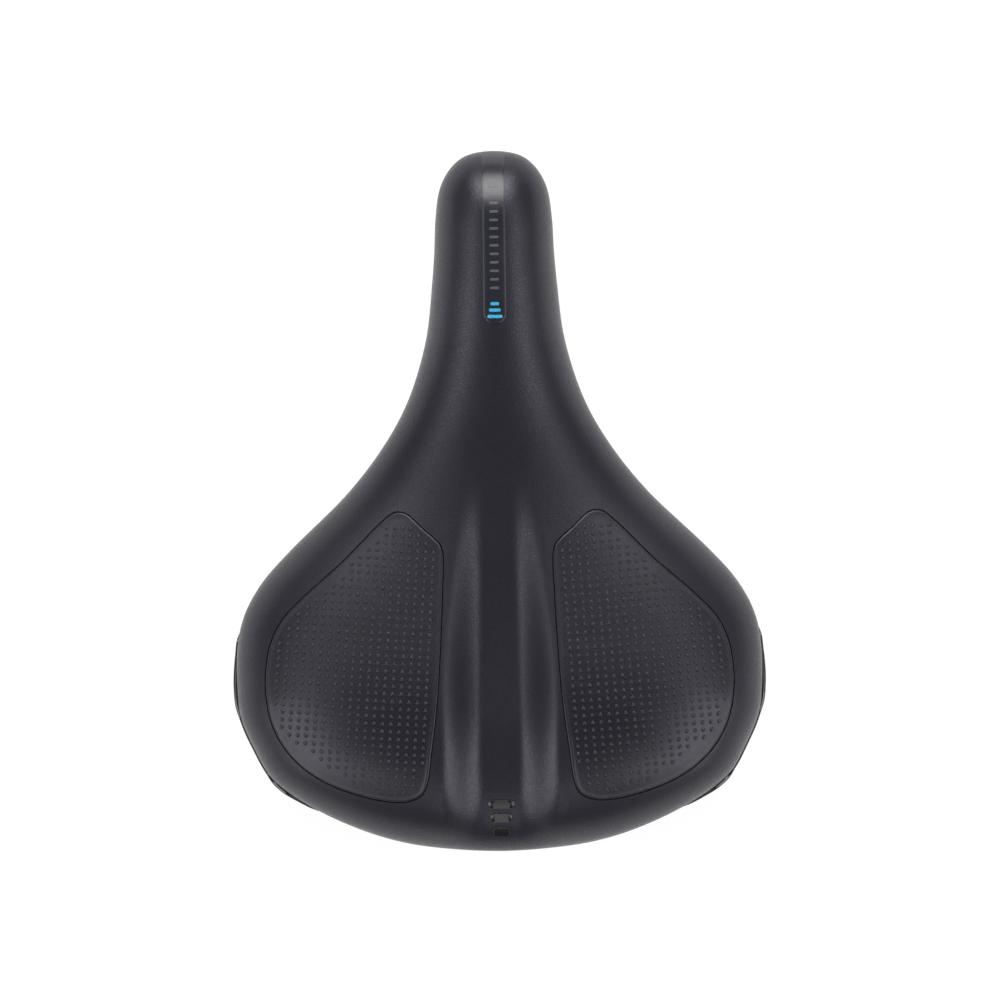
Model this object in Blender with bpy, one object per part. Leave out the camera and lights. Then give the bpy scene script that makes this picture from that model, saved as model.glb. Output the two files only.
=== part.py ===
"""A bicycle saddle with two elastomer springs at the rear, modelled in metres.

The origin lies midway between the two rails, in the middle of the stretch that a seatpost
clamps. +Y points to the nose, +X to the rider's right and +Z up. The seat turns about its nose
bush while the elastomers shorten, so every piece of the seat hangs from an empty on that axis.
"""

import math

import bmesh
import bpy
import numpy as np
from mathutils import Vector

MM = 0.001
GAP = 0.3 * MM  # left between two pieces that touch

# Plan of the cover
LENGTH = 0.265
WIDTH = 0.198
NOSE_WIDTH = 0.045
NOSE_Y = 0.140
TAIL_Y = NOSE_Y - LENGTH

# Heights above the rails
NOSE_TOP = 0.049
MIDDLE_TOP = 0.052
TAIL_TOP = 0.077
NOSE_RIM = 0.029
MIDDLE_RIM = 0.027
TAIL_RIM = 0.043
SKIRT = 0.009  # below the widest line
TUMBLEHOME = 0.0015

# Channel down the middle of the cover
CHANNEL_DEPTH = 0.0105
CHANNEL_FLOOR = 0.0065
CHANNEL_SHOULDER = 0.023

# Layers, from the outside in
SKIN = 0.0012
NOSE_FOAM = 0.009
TAIL_FOAM = 0.020
EDGE_FOAM = 0.0033
BASE_WALL = 0.0026
LONG_RIB_DEPTH = 0.006
CROSS_RIB_DEPTH = 0.0045
RIB_X = 0.016
RIB_WIDTH = 0.0022
GEL_THICKNESS = 0.006
GEL_SHARE = 0.86  # of the grip panel above it

# Rails and rear bridge
RAIL_RADIUS = 0.0035
RAIL_GAUGE = 0.044
CLAMP_FRONT_Y = 0.038
CLAMP_REAR_Y = -0.036
RAIL_TIP_Y = 0.114
RAIL_TIP_Z = 0.0272
RAIL_TIP_RADIUS = 0.0075
RAIL_TAIL_X = 0.026
RAIL_TAIL_Z = 0.006
BRIDGE_LENGTH = 0.124
BRIDGE_WIDTH = 0.034
BRIDGE_LIP = 0.005
PLATE = 0.0025
SPRING_X = 0.041
SPRING_FROM_TAIL = 0.037

# Elastomer springs and their fasteners
SPRING_RADIUS = 0.0135
SPRING_HEIGHT = 0.020
SPRING_BORE = 0.005
CUP = 0.0015
BOSS_RADIUS = 0.0165
BOLT_RADIUS = 0.003
BOLT_HEAD_RADIUS = 0.005
BOLT_HEAD = 0.005
WASHER_RADIUS = 0.0082
INSERT_RADIUS = 0.0045
INSERT_LENGTH = 0.008
BRIDGE_HOLE_RADIUS = 0.0052

# Nose bush and clamp
BUSH_HALF_WIDTH = 0.0118
BUSH_WALL = 0.0011
BUSH_PLAY = 0.0008
BUSH_LENGTH = 0.0125
CLAMP_PLATE = 0.0022
CLAMP_SCREW_X = 0.0062
CLAMP_SCREW_RADIUS = 0.0016
CLAMP_SCREW_LENGTH = 0.0115

# Scuff guards on the rear corners
GUARD_WALL = 0.0006
GUARD_SWELL = 0.0006

# Counts of the surface grid
AROUND = 20  # steps from nose to tail, on each side
ROUND_SIDES = 16

# Outline stations: distance from the tip and share of the nose's half width
NOSE_ROUND = ((0, 0), (1.5, 0.43), (4.5, 0.64), (9, 0.8), (15, 0.915), (26, 0.985), (38, 1.01))
# Share of the length and of the way from the nose's half width to the full one
FLARE = (
    (0.19, 0.016), (0.27, 0.05), (0.357, 0.144), (0.42, 0.265), (0.486, 0.443),
    (0.571, 0.745), (0.614, 0.878), (0.657, 0.963), (0.7, 1.0),
)
# Distance from the tail and share of the full half width
TAIL_ROUND = (
    (60, 1.003), (51, 0.989), (40, 0.942), (28, 0.87), (17, 0.715), (8, 0.518), (3.4, 0.36),
    (1, 0.19), (0, 0),
)
# Grip panel corners: shares of the half width and of the length
PANEL = (
    (0.352, 0.5165), (0.395, 0.5155), (0.445, 0.529), (0.59, 0.583), (0.75, 0.636), (0.83, 0.668),
    (0.872, 0.7), (0.89, 0.735), (0.892, 0.77), (0.872, 0.812), (0.824, 0.848), (0.75, 0.878),
    (0.652, 0.901), (0.527, 0.918), (0.427, 0.926), (0.355, 0.926), (0.3, 0.917),
    (0.277, 0.898), (0.262, 0.858), (0.24, 0.796), (0.224, 0.72), (0.212, 0.63), (0.209, 0.575),
    (0.220, 0.562), (0.285, 0.5385),
)
# How far out each ring of the surface lies, 0 on the ridge to 1 on the widest line
RINGS = (0.0, 0.055, 0.11, 0.18, 0.32, 0.5, 0.7, 0.87, 1.0)


def smooth(low, high, value):
    """0 below low, 1 above high, and an even ease between them."""
    share = np.clip((value - low) / (high - low), 0, 1)
    return share * share * (3 - 2 * share)


def mix(start, end, low, high, t):
    return start + (end - start) * ((t - low) / (high - low))


def curve_through(points, steps):
    """A centripetal Catmull-Rom curve from the second point to the last but one."""
    points = [np.array(point, float) for point in points]
    found = []
    for a, b, c, d in zip(points, points[1:], points[2:], points[3:]):
        knots = np.cumsum([0] + [math.sqrt(np.linalg.norm(q - p)) for p, q in ((a, b), (b, c), (c, d))])
        t = np.linspace(knots[1], knots[2], steps, endpoint=False)[:, None]
        first, second, third = (
            mix(p, q, knots[k], knots[k + 1], t) for k, (p, q) in enumerate(((a, b), (b, c), (c, d)))
        )
        early = mix(first, second, knots[0], knots[2], t)
        late = mix(second, third, knots[1], knots[3], t)
        found.append(mix(early, late, knots[1], knots[2], t))
    return np.concatenate([*found, [points[-2]]])


def half_outline():
    """The right half of the cover's plan, from the nose tip to the tail, closely spaced."""
    nose, full = NOSE_WIDTH / 2, WIDTH / 2
    stations = [(share * nose, NOSE_Y - gone * MM) for gone, share in NOSE_ROUND]
    stations += [(nose + (full - nose) * share, NOSE_Y - LENGTH * gone) for gone, share in FLARE]
    stations += [(share * full, TAIL_Y + left * MM) for left, share in TAIL_ROUND]
    first, last = stations[1], stations[-2]
    stations = [(-first[0], first[1]), *stations, (-last[0], last[1])]
    return curve_through(stations, 24)


def paced(points):
    """0 to 1 along the outline, counting both its length and how much it turns."""
    steps = np.diff(points, axis=0)
    lengths = np.hypot(*steps.T)
    angles = np.unwrap(np.arctan2(steps[:, 1], steps[:, 0]))
    turns = np.abs(np.diff(angles, prepend=angles[0]))
    weights = lengths / lengths.sum() + 0.9 * turns / math.pi
    total = np.concatenate([[0], np.cumsum(weights)])
    return total / total[-1]


OUTLINE = half_outline()
PACE = paced(OUTLINE)
RIGHT = np.linspace(0, 1, AROUND + 1)


def outline_at(u):
    """(x, y) of the outline; past either end it carries on along the mirrored side."""
    inside = 1 - np.abs(1 - np.abs(u))
    side = np.where((u < 0) | (u > 1), -1, 1)
    x, y = (np.interp(inside, PACE, OUTLINE[:, axis]) for axis in (0, 1))
    return side * x, y


def u_at(y):
    """Where the outline reaches y, behind the nose's rounding."""
    return float(np.interp(-y, -OUTLINE[:, 1], PACE))


def along(y):
    """Share of the saddle's length from the nose to y."""
    return (NOSE_Y - y) / LENGTH


def crown(y):
    """Height of the ridge."""
    share = along(y)
    nose = NOSE_TOP + (MIDDLE_TOP - NOSE_TOP) * smooth(-0.05, 0.2, share)
    return nose + (TAIL_TOP - MIDDLE_TOP) * smooth(0.4, 0.98, share)


def rim(y):
    """Height of the widest line."""
    share = along(y)
    nose = NOSE_RIM + (MIDDLE_RIM - NOSE_RIM) * smooth(0, 0.3, share)
    return nose + (TAIL_RIM - MIDDLE_RIM) * smooth(0.5, 1.05, share)


def channel(x, y):
    """How far the middle channel sinks the surface."""
    share = along(y)
    depth = CHANNEL_DEPTH * smooth(0.38, 0.8, share)
    spread = 0.62 + 0.38 * smooth(0.4, 0.8, share)
    return depth * (1 - smooth(CHANNEL_FLOOR * spread, CHANNEL_SHOULDER * spread, np.abs(x)))


SPINE_NOSE_Y = NOSE_Y - NOSE_WIDTH * 0.62
SPINE_TAIL_Y = TAIL_Y + WIDTH * 0.4


def domed(u, ring, grooved):
    """Points of the cover's outside, and how high each is between its rim and its crown."""
    x, y = outline_at(u)
    spine_y = np.clip(y, SPINE_TAIL_Y, SPINE_NOSE_Y)
    out = ring * (2 - ring)
    px, py = x * out, spine_y + (y - spine_y) * out
    squareness = 2.0 + 1.0 * smooth(0.35, 0.75, along(y))
    lift = np.sqrt(np.clip(1 - out**squareness, 0, 1))
    height = crown(py) - rim(y) - (channel(px, py) if grooved else 0)
    return np.stack([px, py, rim(y) + height * lift], axis=-1), lift


def normals(u, ring, grooved):
    step = 0.003
    ahead, behind = (domed(u + side * step, ring, grooved)[0] for side in (1, -1))
    outer, inner = np.clip(ring + step, 0, 1), np.clip(ring - step, 0, 1)
    across = domed(u, outer, grooved)[0] - domed(u, inner, grooved)[0]
    found = np.cross(ahead - behind, across)
    y = np.clip(outline_at(u)[1], SPINE_TAIL_Y, SPINE_NOSE_Y)
    heights = [crown(y + side) - (channel(0, y + side) if grooved else 0) for side in (-MM, MM)]
    ridge = np.stack([0 * y, (heights[0] - heights[1]) / (2 * MM), 0 * y + 1], axis=-1)
    found = np.where((ring < step)[..., None], ridge, found)
    return found / np.linalg.norm(found, axis=-1, keepdims=True)


def edge_depth(u):
    """Depth of the base's outside below the cover's, at the skirt."""
    return SKIN + 2 * GAP + EDGE_FOAM * (1 + 0.5 * smooth(0.3, 0.7, along(outline_at(u)[1])))


def base_depth(u, lift, y):
    """Depth of the base's outside below the ungrooved cover."""
    middle = NOSE_FOAM + (TAIL_FOAM - NOSE_FOAM) * smooth(0.25, 0.75, along(y))
    return edge_depth(u) + (SKIN + 2 * GAP + middle - edge_depth(u)) * lift


def mirrored(rows):
    """The right half's rows, each closed into a loop by its mirror image."""
    left = rows[:, -2:0:-1] * (-1, 1, 1)
    return np.concatenate([rows, left], axis=1)


def sheet(depth, follows_base=False, bottom=0.0, wrap=None):
    """Loops of points from the ridge to the skirt's lower edge, `depth` below the outside.

    A sheet that follows the base lies `depth` below the base's outside instead. With a wrap, one
    more loop turns in under the skirt and ends `wrap` deeper than the cover's own lower edge.
    """
    u, ring = np.meshgrid(RIGHT, RINGS)
    points, lift = domed(u, ring, not follows_base)
    if follows_base:
        depth = depth + base_depth(u, lift, points[..., 1])
    else:
        depth = depth + 0 * lift
    normal = normals(u, ring, not follows_base)
    rows = points - normal * depth[..., None]
    rows[..., 0] = np.maximum(rows[..., 0], 0)
    out = normal[-1] * (1, 1, 0)
    out /= np.linalg.norm(out, axis=-1, keepdims=True)
    edge = points[-1]
    skirt = [
        edge - out * (0.3 * TUMBLEHOME + depth[-1])[:, None] - (0, 0, SKIRT / 2),
        edge - out * (TUMBLEHOME + depth[-1])[:, None] - (0, 0, SKIRT - bottom),
    ]
    if wrap is not None:
        skirt.append(edge - out * (TUMBLEHOME + wrap)[:, None] - (0, 0, SKIRT - bottom))
    rows = np.concatenate([rows, np.array(skirt)])
    rows[:, (0, -1), 0] = 0
    return mirrored(rows)


def add_object(name, points, faces):
    mesh = bpy.data.meshes.new(name)
    mesh.from_pydata([tuple(point) for point in points], [], faces)
    model = bmesh.new()
    model.from_mesh(mesh)
    bmesh.ops.remove_doubles(model, verts=model.verts, dist=0.001 * MM)
    bmesh.ops.dissolve_degenerate(model, edges=model.edges, dist=0.0001 * MM)
    bmesh.ops.recalc_face_normals(model, faces=model.faces)
    model.to_mesh(mesh)
    model.free()
    mesh.shade_smooth()
    mesh.set_sharp_from_angle(angle=math.radians(35))
    made = bpy.data.objects.new(name, mesh)
    bpy.context.scene.collection.objects.link(made)
    return made


def between(name, outer, inner=None):
    """The closed solid from an outer sheet in to an inner one, or straight down to the rails."""
    around = outer.shape[1]
    floor = outer[-1:] * (1, 1, 0)
    loops = [*outer, *(floor if inner is None else inner[::-1])]
    faces = []
    for row in range(len(loops) - 1):
        for k in range(around):
            a, b = row * around + k, row * around + (k + 1) % around
            corners = (a, b, b + around, a + around)
            if inner is not None and row >= len(outer):
                # the inner sheet is split along the same diagonals as the outer one
                faces += [(corners[3], corners[2], corners[1]), (corners[3], corners[1], corners[0])]
            else:
                faces += [(a, b, b + around), (a, b + around, a + around)]
    points = np.concatenate(loops)
    if inner is None:
        faces.append(tuple(range((len(loops) - 1) * around, len(loops) * around)))
    kept = [face for face in faces if not flat(points, face)]
    return add_object(name, points, kept)


def flat(points, face):
    """Whether two neighbouring corners of a face lie on each other, as along the ridge."""
    if len(face) > 3:
        return False
    a, b, c = (points[i] for i in face)
    return min(np.linalg.norm(a - b), np.linalg.norm(b - c), np.linalg.norm(c - a)) < 1e-3 * MM


def prism(name, outline, low, high):
    """An upright solid over a closed plan outline."""
    count = len(outline)
    points = [(x, y, z) for z in (low, high) for x, y in outline]
    sides = [(k, (k + 1) % count, count + (k + 1) % count, count + k) for k in range(count)]
    ends = [tuple(range(count)), tuple(range(count, 2 * count))]
    return add_object(name, points, sides + ends)


def box(name, low, high):
    (x0, y0, z0), (x1, y1, z1) = low, high
    return prism(name, ((x0, y0), (x1, y0), (x1, y1), (x0, y1)), z0, z1)


def turned(name, profile, centre=(0, 0), sides=ROUND_SIDES):
    """A solid of revolution about an upright axis, from a closed (radius, height) profile."""
    count = len(profile)
    points = []
    for side in range(sides):
        angle = 2 * math.pi * side / sides
        across = (math.cos(angle), math.sin(angle))
        points += [(centre[0] + r * across[0], centre[1] + r * across[1], z) for r, z in profile]
    faces = []
    for side in range(sides):
        start, end = side * count, (side + 1) % sides * count
        for k in range(count):
            following = (k + 1) % count
            if profile[k][0] > 0 or profile[following][0] > 0:
                faces.append((start + k, end + k, end + following, start + following))
    return add_object(name, points, faces)


def cylinder(name, radius, low, high, centre=(0, 0), sides=ROUND_SIDES):
    return turned(name, ((0, low), (radius, low), (radius, high), (0, high)), centre, sides)


def helper(tool):
    """Keeps a cutting or joining shape out of the finished object."""
    tool.hide_render = True
    tool.display_type = "WIRE"
    return tool


def combine(target, operation, *tools):
    for tool in tools:
        modifier = target.modifiers.new(f"{operation.title()} {tool.name}", "BOOLEAN")
        modifier.operation = operation
        modifier.object = helper(tool)
    return target


def panel_outline(side, inset, share=1.0):
    """A grip panel's closed plan, shrunk to a share about its middle and drawn in by `inset`."""
    corners = [(x * WIDTH / 2, NOSE_Y - y * LENGTH) for x, y in PANEL]
    points = curve_through([corners[-1], *corners, corners[0], corners[1]], 1)[:-1]
    middle = points.mean(axis=0)
    points = middle + (points - middle) * share
    ahead, behind = np.roll(points, -1, axis=0), np.roll(points, 1, axis=0)
    tangent = ahead - behind
    tangent /= np.linalg.norm(tangent, axis=1, keepdims=True)
    inward = np.stack([tangent[:, 1], -tangent[:, 0]], axis=1)
    points = points + inward * inset
    return [(side * x, y) for x, y in points]


def panel_prism(name, side, inset, share=1.0):
    return prism(name, panel_outline(side, inset, share), MIDDLE_RIM, TAIL_TOP + 0.01)


SPRING_Y = TAIL_Y + SPRING_FROM_TAIL
BRIDGE_BOTTOM = RAIL_TAIL_Z + RAIL_RADIUS + GAP
BRIDGE_TOP = BRIDGE_BOTTOM + PLATE
SPRING_BOTTOM = BRIDGE_TOP + CUP + 2 * GAP
SPRING_TOP = SPRING_BOTTOM + SPRING_HEIGHT
BOSS_BOTTOM = SPRING_TOP + CUP + 2 * GAP
BUSH_TOP = RAIL_TIP_Z + RAIL_RADIUS + BUSH_PLAY + BUSH_WALL
BUSH_BOTTOM = RAIL_TIP_Z - RAIL_RADIUS - BUSH_PLAY - BUSH_WALL
BUSH_FRONT = RAIL_TIP_Y + RAIL_RADIUS + BUSH_PLAY + BUSH_WALL
BUSH_REAR = BUSH_FRONT - BUSH_LENGTH
CLAMP_SCREW_Y = BUSH_FRONT + CLAMP_SCREW_RADIUS + 1.6 * MM
CLAMP_FRONT = CLAMP_SCREW_Y + 3.6 * MM
PIVOT = Vector((0, RAIL_TIP_Y, RAIL_TIP_Z))
SIDES = (("left", -1), ("right", 1))


def rail_line():
    """Centre line of the one-piece rail, from its left rear end round the nose to the right."""
    half = RAIL_GAUGE / 2
    back = SPRING_Y - BRIDGE_WIDTH * 0.36
    legs = [
        (RAIL_TAIL_X, back, RAIL_TAIL_Z), (RAIL_TAIL_X, SPRING_Y + BRIDGE_WIDTH * 0.4, RAIL_TAIL_Z),
        (RAIL_TAIL_X - 1 * MM, CLAMP_REAR_Y - 19 * MM, RAIL_TAIL_Z - 1.6 * MM),
        (half + 0.4 * MM, CLAMP_REAR_Y - 5 * MM, 0.3 * MM),
        (half, CLAMP_REAR_Y, 0), (half, CLAMP_FRONT_Y, 0),
        (half - 0.6 * MM, CLAMP_FRONT_Y + 6 * MM, 0.7 * MM),
        (half * 0.42 + RAIL_TIP_RADIUS * 0.58, (CLAMP_FRONT_Y + RAIL_TIP_Y) / 2, RAIL_TIP_Z * 0.4),
        (RAIL_TIP_RADIUS + 0.6 * MM, RAIL_TIP_Y - RAIL_TIP_RADIUS - 14 * MM, RAIL_TIP_Z - 3 * MM),
    ]
    turn = [
        (RAIL_TIP_RADIUS * math.cos(angle),
         RAIL_TIP_Y - RAIL_TIP_RADIUS * (1 - math.sin(angle)), RAIL_TIP_Z)
        for angle in np.linspace(0, math.pi / 2, 5)
    ]
    right = legs + turn[:-1]
    left = [(-x, y, z) for x, y, z in right]
    before, after = ((x, back - 1 * MM, RAIL_TAIL_Z) for x in (-RAIL_TAIL_X, RAIL_TAIL_X))
    return curve_through([before, *left, turn[-1], *reversed(right), after], 3)


def swept(name, line, radius):
    """A round bar along a line of points, with filled ends."""
    data = bpy.data.curves.new(name, "CURVE")
    data.dimensions = "3D"
    data.bevel_depth = radius
    data.bevel_resolution = 2
    data.use_fill_caps = True
    spline = data.splines.new("POLY")
    spline.points.add(len(line) - 1)
    for point, place in zip(spline.points, line):
        point.co = (*place, 1)
    made = bpy.data.objects.new(name, data)
    bpy.context.scene.collection.objects.link(made)
    return made


def as_mesh(shape):
    """A mesh twin of a curve, which a Boolean can take."""
    bpy.context.view_layer.update()
    graph = bpy.context.evaluated_depsgraph_get()
    mesh = bpy.data.meshes.new_from_object(shape.evaluated_get(graph))
    model = bmesh.new()
    model.from_mesh(mesh)
    bmesh.ops.remove_doubles(model, verts=model.verts, dist=0.001 * MM)
    bmesh.ops.recalc_face_normals(model, faces=model.faces)
    model.to_mesh(mesh)
    model.free()
    mesh.shade_smooth()
    name = shape.name
    bpy.data.objects.remove(shape)
    made = bpy.data.objects.new(name, mesh)
    bpy.context.scene.collection.objects.link(made)
    return made


def rails():
    return as_mesh(swept("rails", rail_line(), RAIL_RADIUS))


def rear_bridge():
    """The channel-shaped steel plate that carries both springs, its rims turned up."""
    front, back = SPRING_Y + BRIDGE_WIDTH / 2, SPRING_Y - BRIDGE_WIDTH / 2
    half = BRIDGE_LENGTH / 2
    corner = 7 * MM
    plan = []
    for x, y, start in ((half, front, 0), (-half, front, 90), (-half, back, 180), (half, back, 270)):
        middle = (x - math.copysign(corner, x), y - math.copysign(corner, y - SPRING_Y))
        for angle in np.radians(np.linspace(start, start + 90, 4)):
            plan.append((middle[0] + corner * math.cos(angle), middle[1] + corner * math.sin(angle)))
    bridge = prism("rear_bridge", plan, BRIDGE_BOTTOM, BRIDGE_TOP + BRIDGE_LIP)
    centre = np.array((0, SPRING_Y))
    shrink = 1 - 2 * PLATE / np.array((BRIDGE_LENGTH, BRIDGE_WIDTH))
    tray = [tuple(centre + (np.array(point) - centre) * shrink) for point in plan]
    cuts = [prism("bridge_tray", tray, BRIDGE_TOP, BRIDGE_TOP + 2 * BRIDGE_LIP)]
    for side, sign in SIDES:
        place = (sign * SPRING_X, SPRING_Y)
        cuts.append(cylinder(f"{side}_bridge_hole", BRIDGE_HOLE_RADIUS, 0, 2 * BRIDGE_TOP, place))
    return combine(bridge, "DIFFERENCE", *cuts)


def ring(name, outer, inner, low, high, centre):
    return turned(name, ((inner, low), (outer, low), (outer, high), (inner, high)), centre)


def elastomer(name, centre):
    """A bored rubber spring with two grooves round it, so that it folds evenly."""
    profile = [(SPRING_BORE, SPRING_BOTTOM), (SPRING_RADIUS - 1 * MM, SPRING_BOTTOM)]
    for share in (0.06, 0.26, 0.33, 0.4, 0.6, 0.67, 0.74, 0.94):
        groove = 2.6 * MM if share in (0.33, 0.67) else 0
        profile.append((SPRING_RADIUS - groove, SPRING_BOTTOM + share * SPRING_HEIGHT))
    profile += [(SPRING_RADIUS - 1 * MM, SPRING_TOP), (SPRING_BORE, SPRING_TOP)]
    return turned(name, profile, centre)


def guide_bolt(name, centre):
    """A socket-head bolt from below the bridge up into the seat's insert."""
    under = BRIDGE_BOTTOM - CUP - 2 * GAP
    head = under - BOLT_HEAD
    tip = BOSS_BOTTOM + INSERT_LENGTH - 1 * MM
    profile = (
        (0, head + 2.5 * MM), (2.4 * MM, head + 2.5 * MM), (2.4 * MM, head),
        (BOLT_HEAD_RADIUS - 0.5 * MM, head), (BOLT_HEAD_RADIUS, head + 0.5 * MM),
        (BOLT_HEAD_RADIUS, under), (BOLT_RADIUS, under), (BOLT_RADIUS, tip - 0.6 * MM),
        (BOLT_RADIUS - 0.6 * MM, tip), (0, tip),
    )
    return turned(name, profile, centre, 18)


def clamp_screw(name, centre):
    under = BUSH_BOTTOM - CLAMP_PLATE - 2 * GAP
    tip = under + CLAMP_SCREW_LENGTH
    profile = (
        (0, under - 0.8 * MM), (1.1 * MM, under - 0.8 * MM), (1.1 * MM, under - 1.9 * MM),
        (2.2 * MM, under - 1.9 * MM), (2.9 * MM, under - 1.2 * MM), (2.9 * MM, under),
        (CLAMP_SCREW_RADIUS, under), (CLAMP_SCREW_RADIUS, tip - 0.8 * MM), (0, tip),
    )
    return turned(name, profile, centre, 14)


def rib_zone(name, depth):
    """The layer under the base's wall that a rib fills, which thins away towards the nose."""
    low = SKIN + GAP
    deep = BASE_WALL + depth * smooth(0.1, 0.25, along(outline_at(RIGHT)[1]))
    return between(name, sheet(BASE_WALL / 2, True, low), sheet(deep, True, low))


def base_shell():
    """The seat's moulded base: a domed wall, ribs, spring bosses and the nose pocket."""
    low = SKIN + GAP
    shell = between("base_shell", sheet(0, True, low), sheet(BASE_WALL, True, low))
    bars = []
    for name, sign in SIDES:
        bars.append(combine(
            box(f"{name}_rib", (sign * RIB_X - RIB_WIDTH / 2, SPRING_Y - 0.012, 0),
                (sign * RIB_X + RIB_WIDTH / 2, 0.075, TAIL_TOP)),
            "INTERSECT", rib_zone(f"{name}_rib_zone", LONG_RIB_DEPTH)))
    for name, y in (("front", 0.02), ("middle", -0.03)):
        bars.append(combine(
            box(f"{name}_rib", (-WIDTH / 2, y - RIB_WIDTH / 2, 0),
                (WIDTH / 2, y + RIB_WIDTH / 2, TAIL_TOP)),
            "INTERSECT", rib_zone(f"{name}_rib_zone", CROSS_RIB_DEPTH)))
    core = between("base_core", sheet(BASE_WALL / 2, True, low))
    pads = [
        cylinder(f"{side}_boss", BOSS_RADIUS, BOSS_BOTTOM, TAIL_TOP, (sign * SPRING_X, SPRING_Y))
        for side, sign in SIDES
    ]
    pads.append(box("nose_pocket", (-NOSE_WIDTH / 2, BUSH_REAR + 2 * MM, BUSH_BOTTOM),
                    (NOSE_WIDTH / 2, CLAMP_FRONT, NOSE_TOP)))
    for pad in pads:
        combine(pad, "INTERSECT", core)
    combine(shell, "UNION", *bars, *pads)
    return combine(shell, "DIFFERENCE", *base_cuts())


def base_cuts():
    """Room in the base for the bush, the rail's legs, the inserts and the clamp screws."""
    side = BUSH_HALF_WIDTH + GAP
    cuts = [
        box("bush_room", (-side, BUSH_REAR - 4 * MM, 0), (side, BUSH_FRONT + GAP, BUSH_TOP + GAP)),
    ]
    for name, sign in SIDES:
        place = (sign * SPRING_X, SPRING_Y)
        top = BOSS_BOTTOM + INSERT_LENGTH + GAP
        cuts.append(cylinder(f"{name}_insert_hole", INSERT_RADIUS + GAP, 0, top, place))
        screw = (sign * CLAMP_SCREW_X, CLAMP_SCREW_Y)
        top = BUSH_BOTTOM - CLAMP_PLATE - GAP + CLAMP_SCREW_LENGTH
        cuts.append(cylinder(f"{name}_screw_hole", CLAMP_SCREW_RADIUS + GAP, 0, top, screw, 14))
    return cuts


def nose_bush():
    """A rubber block with a tunnel for the rail's bend."""
    bush = box("nose_bush", (-BUSH_HALF_WIDTH, BUSH_REAR, BUSH_BOTTOM),
               (BUSH_HALF_WIDTH, BUSH_FRONT, BUSH_TOP))
    tunnel = as_mesh(swept("bush_tunnel", rail_line(), RAIL_RADIUS + BUSH_PLAY))
    return combine(bush, "DIFFERENCE", tunnel)


def nose_clamp():
    """The plate that shuts the nose pocket from below."""
    top = BUSH_BOTTOM - GAP
    side, tip = BUSH_HALF_WIDTH, CLAMP_SCREW_X + 2.8 * MM
    plan = ((-side, BUSH_REAR), (side, BUSH_REAR), (side, BUSH_FRONT),
            (tip, CLAMP_FRONT), (-tip, CLAMP_FRONT), (-side, BUSH_FRONT))
    plate = prism("nose_clamp", plan, top - CLAMP_PLATE, top)
    holes = [
        cylinder(f"{name}_clamp_hole", CLAMP_SCREW_RADIUS + GAP, 0, 2 * top,
                 (sign * CLAMP_SCREW_X, CLAMP_SCREW_Y), 14)
        for name, sign in SIDES
    ]
    return combine(plate, "DIFFERENCE", *holes)


def foam_core():
    top = SKIN + GAP
    foam = between("foam_core", sheet(top, bottom=top), sheet(-GAP, True, top))
    for name, sign in SIDES:
        pocket = between(f"{name}_gel_pocket", sheet(0), sheet(top + GEL_THICKNESS + GAP))
        combine(pocket, "INTERSECT", panel_prism(f"{name}_gel_plan", sign, -GAP, GEL_SHARE))
        combine(foam, "DIFFERENCE", pocket)
    return foam


def gel_pad(name, sign):
    top = SKIN + GAP
    pad = between(f"{name}_gel_pad", sheet(top), sheet(top + GEL_THICKNESS))
    return combine(pad, "INTERSECT", panel_prism(f"{name}_gel_shape", sign, 0, GEL_SHARE))


def cover():
    """The skin, wrapped under the base's edge, with a window for each grip panel."""
    wrap = edge_depth(RIGHT) + BASE_WALL - GAP
    skin = between("cover", sheet(0, wrap=wrap), sheet(SKIN, bottom=SKIN, wrap=wrap))
    for name, sign in SIDES:
        combine(skin, "DIFFERENCE", panel_prism(f"{name}_window", sign, 0))
    return skin


def grip_panel(name, sign):
    panel = between(f"{name}_grip_panel", sheet(0), sheet(SKIN))
    return combine(panel, "INTERSECT", panel_prism(f"{name}_panel_plan", sign, GAP))


def scuff_guard(name, sign):
    """A strip round the rear corner of the skirt, which swells out at two places."""
    start, end = u_at(TAIL_Y + 0.083), u_at(TAIL_Y + 0.016)
    u = np.linspace(start, end, 19)
    points = domed(u, np.ones_like(u), True)[0]
    out = normals(u, np.ones_like(u), True) * (1, 1, 0)
    out /= np.linalg.norm(out, axis=-1, keepdims=True)
    share = np.linspace(0, 1, len(u))
    swell = sum(1 - smooth(0, 0.16, np.abs(share - middle)) for middle in (0.24, 0.82))
    raised = 2.2 * MM * (1 - swell)
    faces, rows = [], []
    for k, (point, normal) in enumerate(zip(points, out)):
        outer = GAP + GUARD_WALL + GUARD_SWELL * swell[k]
        section = (
            (GAP, 0.4 * MM + raised[k]), (outer, 0.9 * MM + raised[k]), (outer, SKIRT * 0.55),
            (GAP + GUARD_WALL - TUMBLEHOME, SKIRT - 1.2 * MM), (GAP - TUMBLEHOME, SKIRT - 1.2 * MM),
            (GAP - 0.3 * TUMBLEHOME, SKIRT / 2),
        )
        rows += [point + normal * away - np.array((0, 0, drop)) for away, drop in section]
    count = 6
    for k in range(len(u) - 1):
        for side in range(count):
            a, b = k * count + side, k * count + (side + 1) % count
            faces += [(a, b, b + count), (a, b + count, a + count)]
    faces += [tuple(range(count)), tuple(range((len(u) - 1) * count, len(u) * count))]
    rows = np.array(rows) * (sign, 1, 1)
    return add_object(f"{name}_scuff_guard", rows, faces)


def material(name, colour, roughness, metallic=0.0):
    made = bpy.data.materials.new(name)
    made.use_nodes = True
    shader = made.node_tree.nodes["Principled BSDF"]
    shader.inputs["Base Color"].default_value = (*colour, 1)
    shader.inputs["Roughness"].default_value = roughness
    shader.inputs["Metallic"].default_value = metallic
    return made


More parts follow.
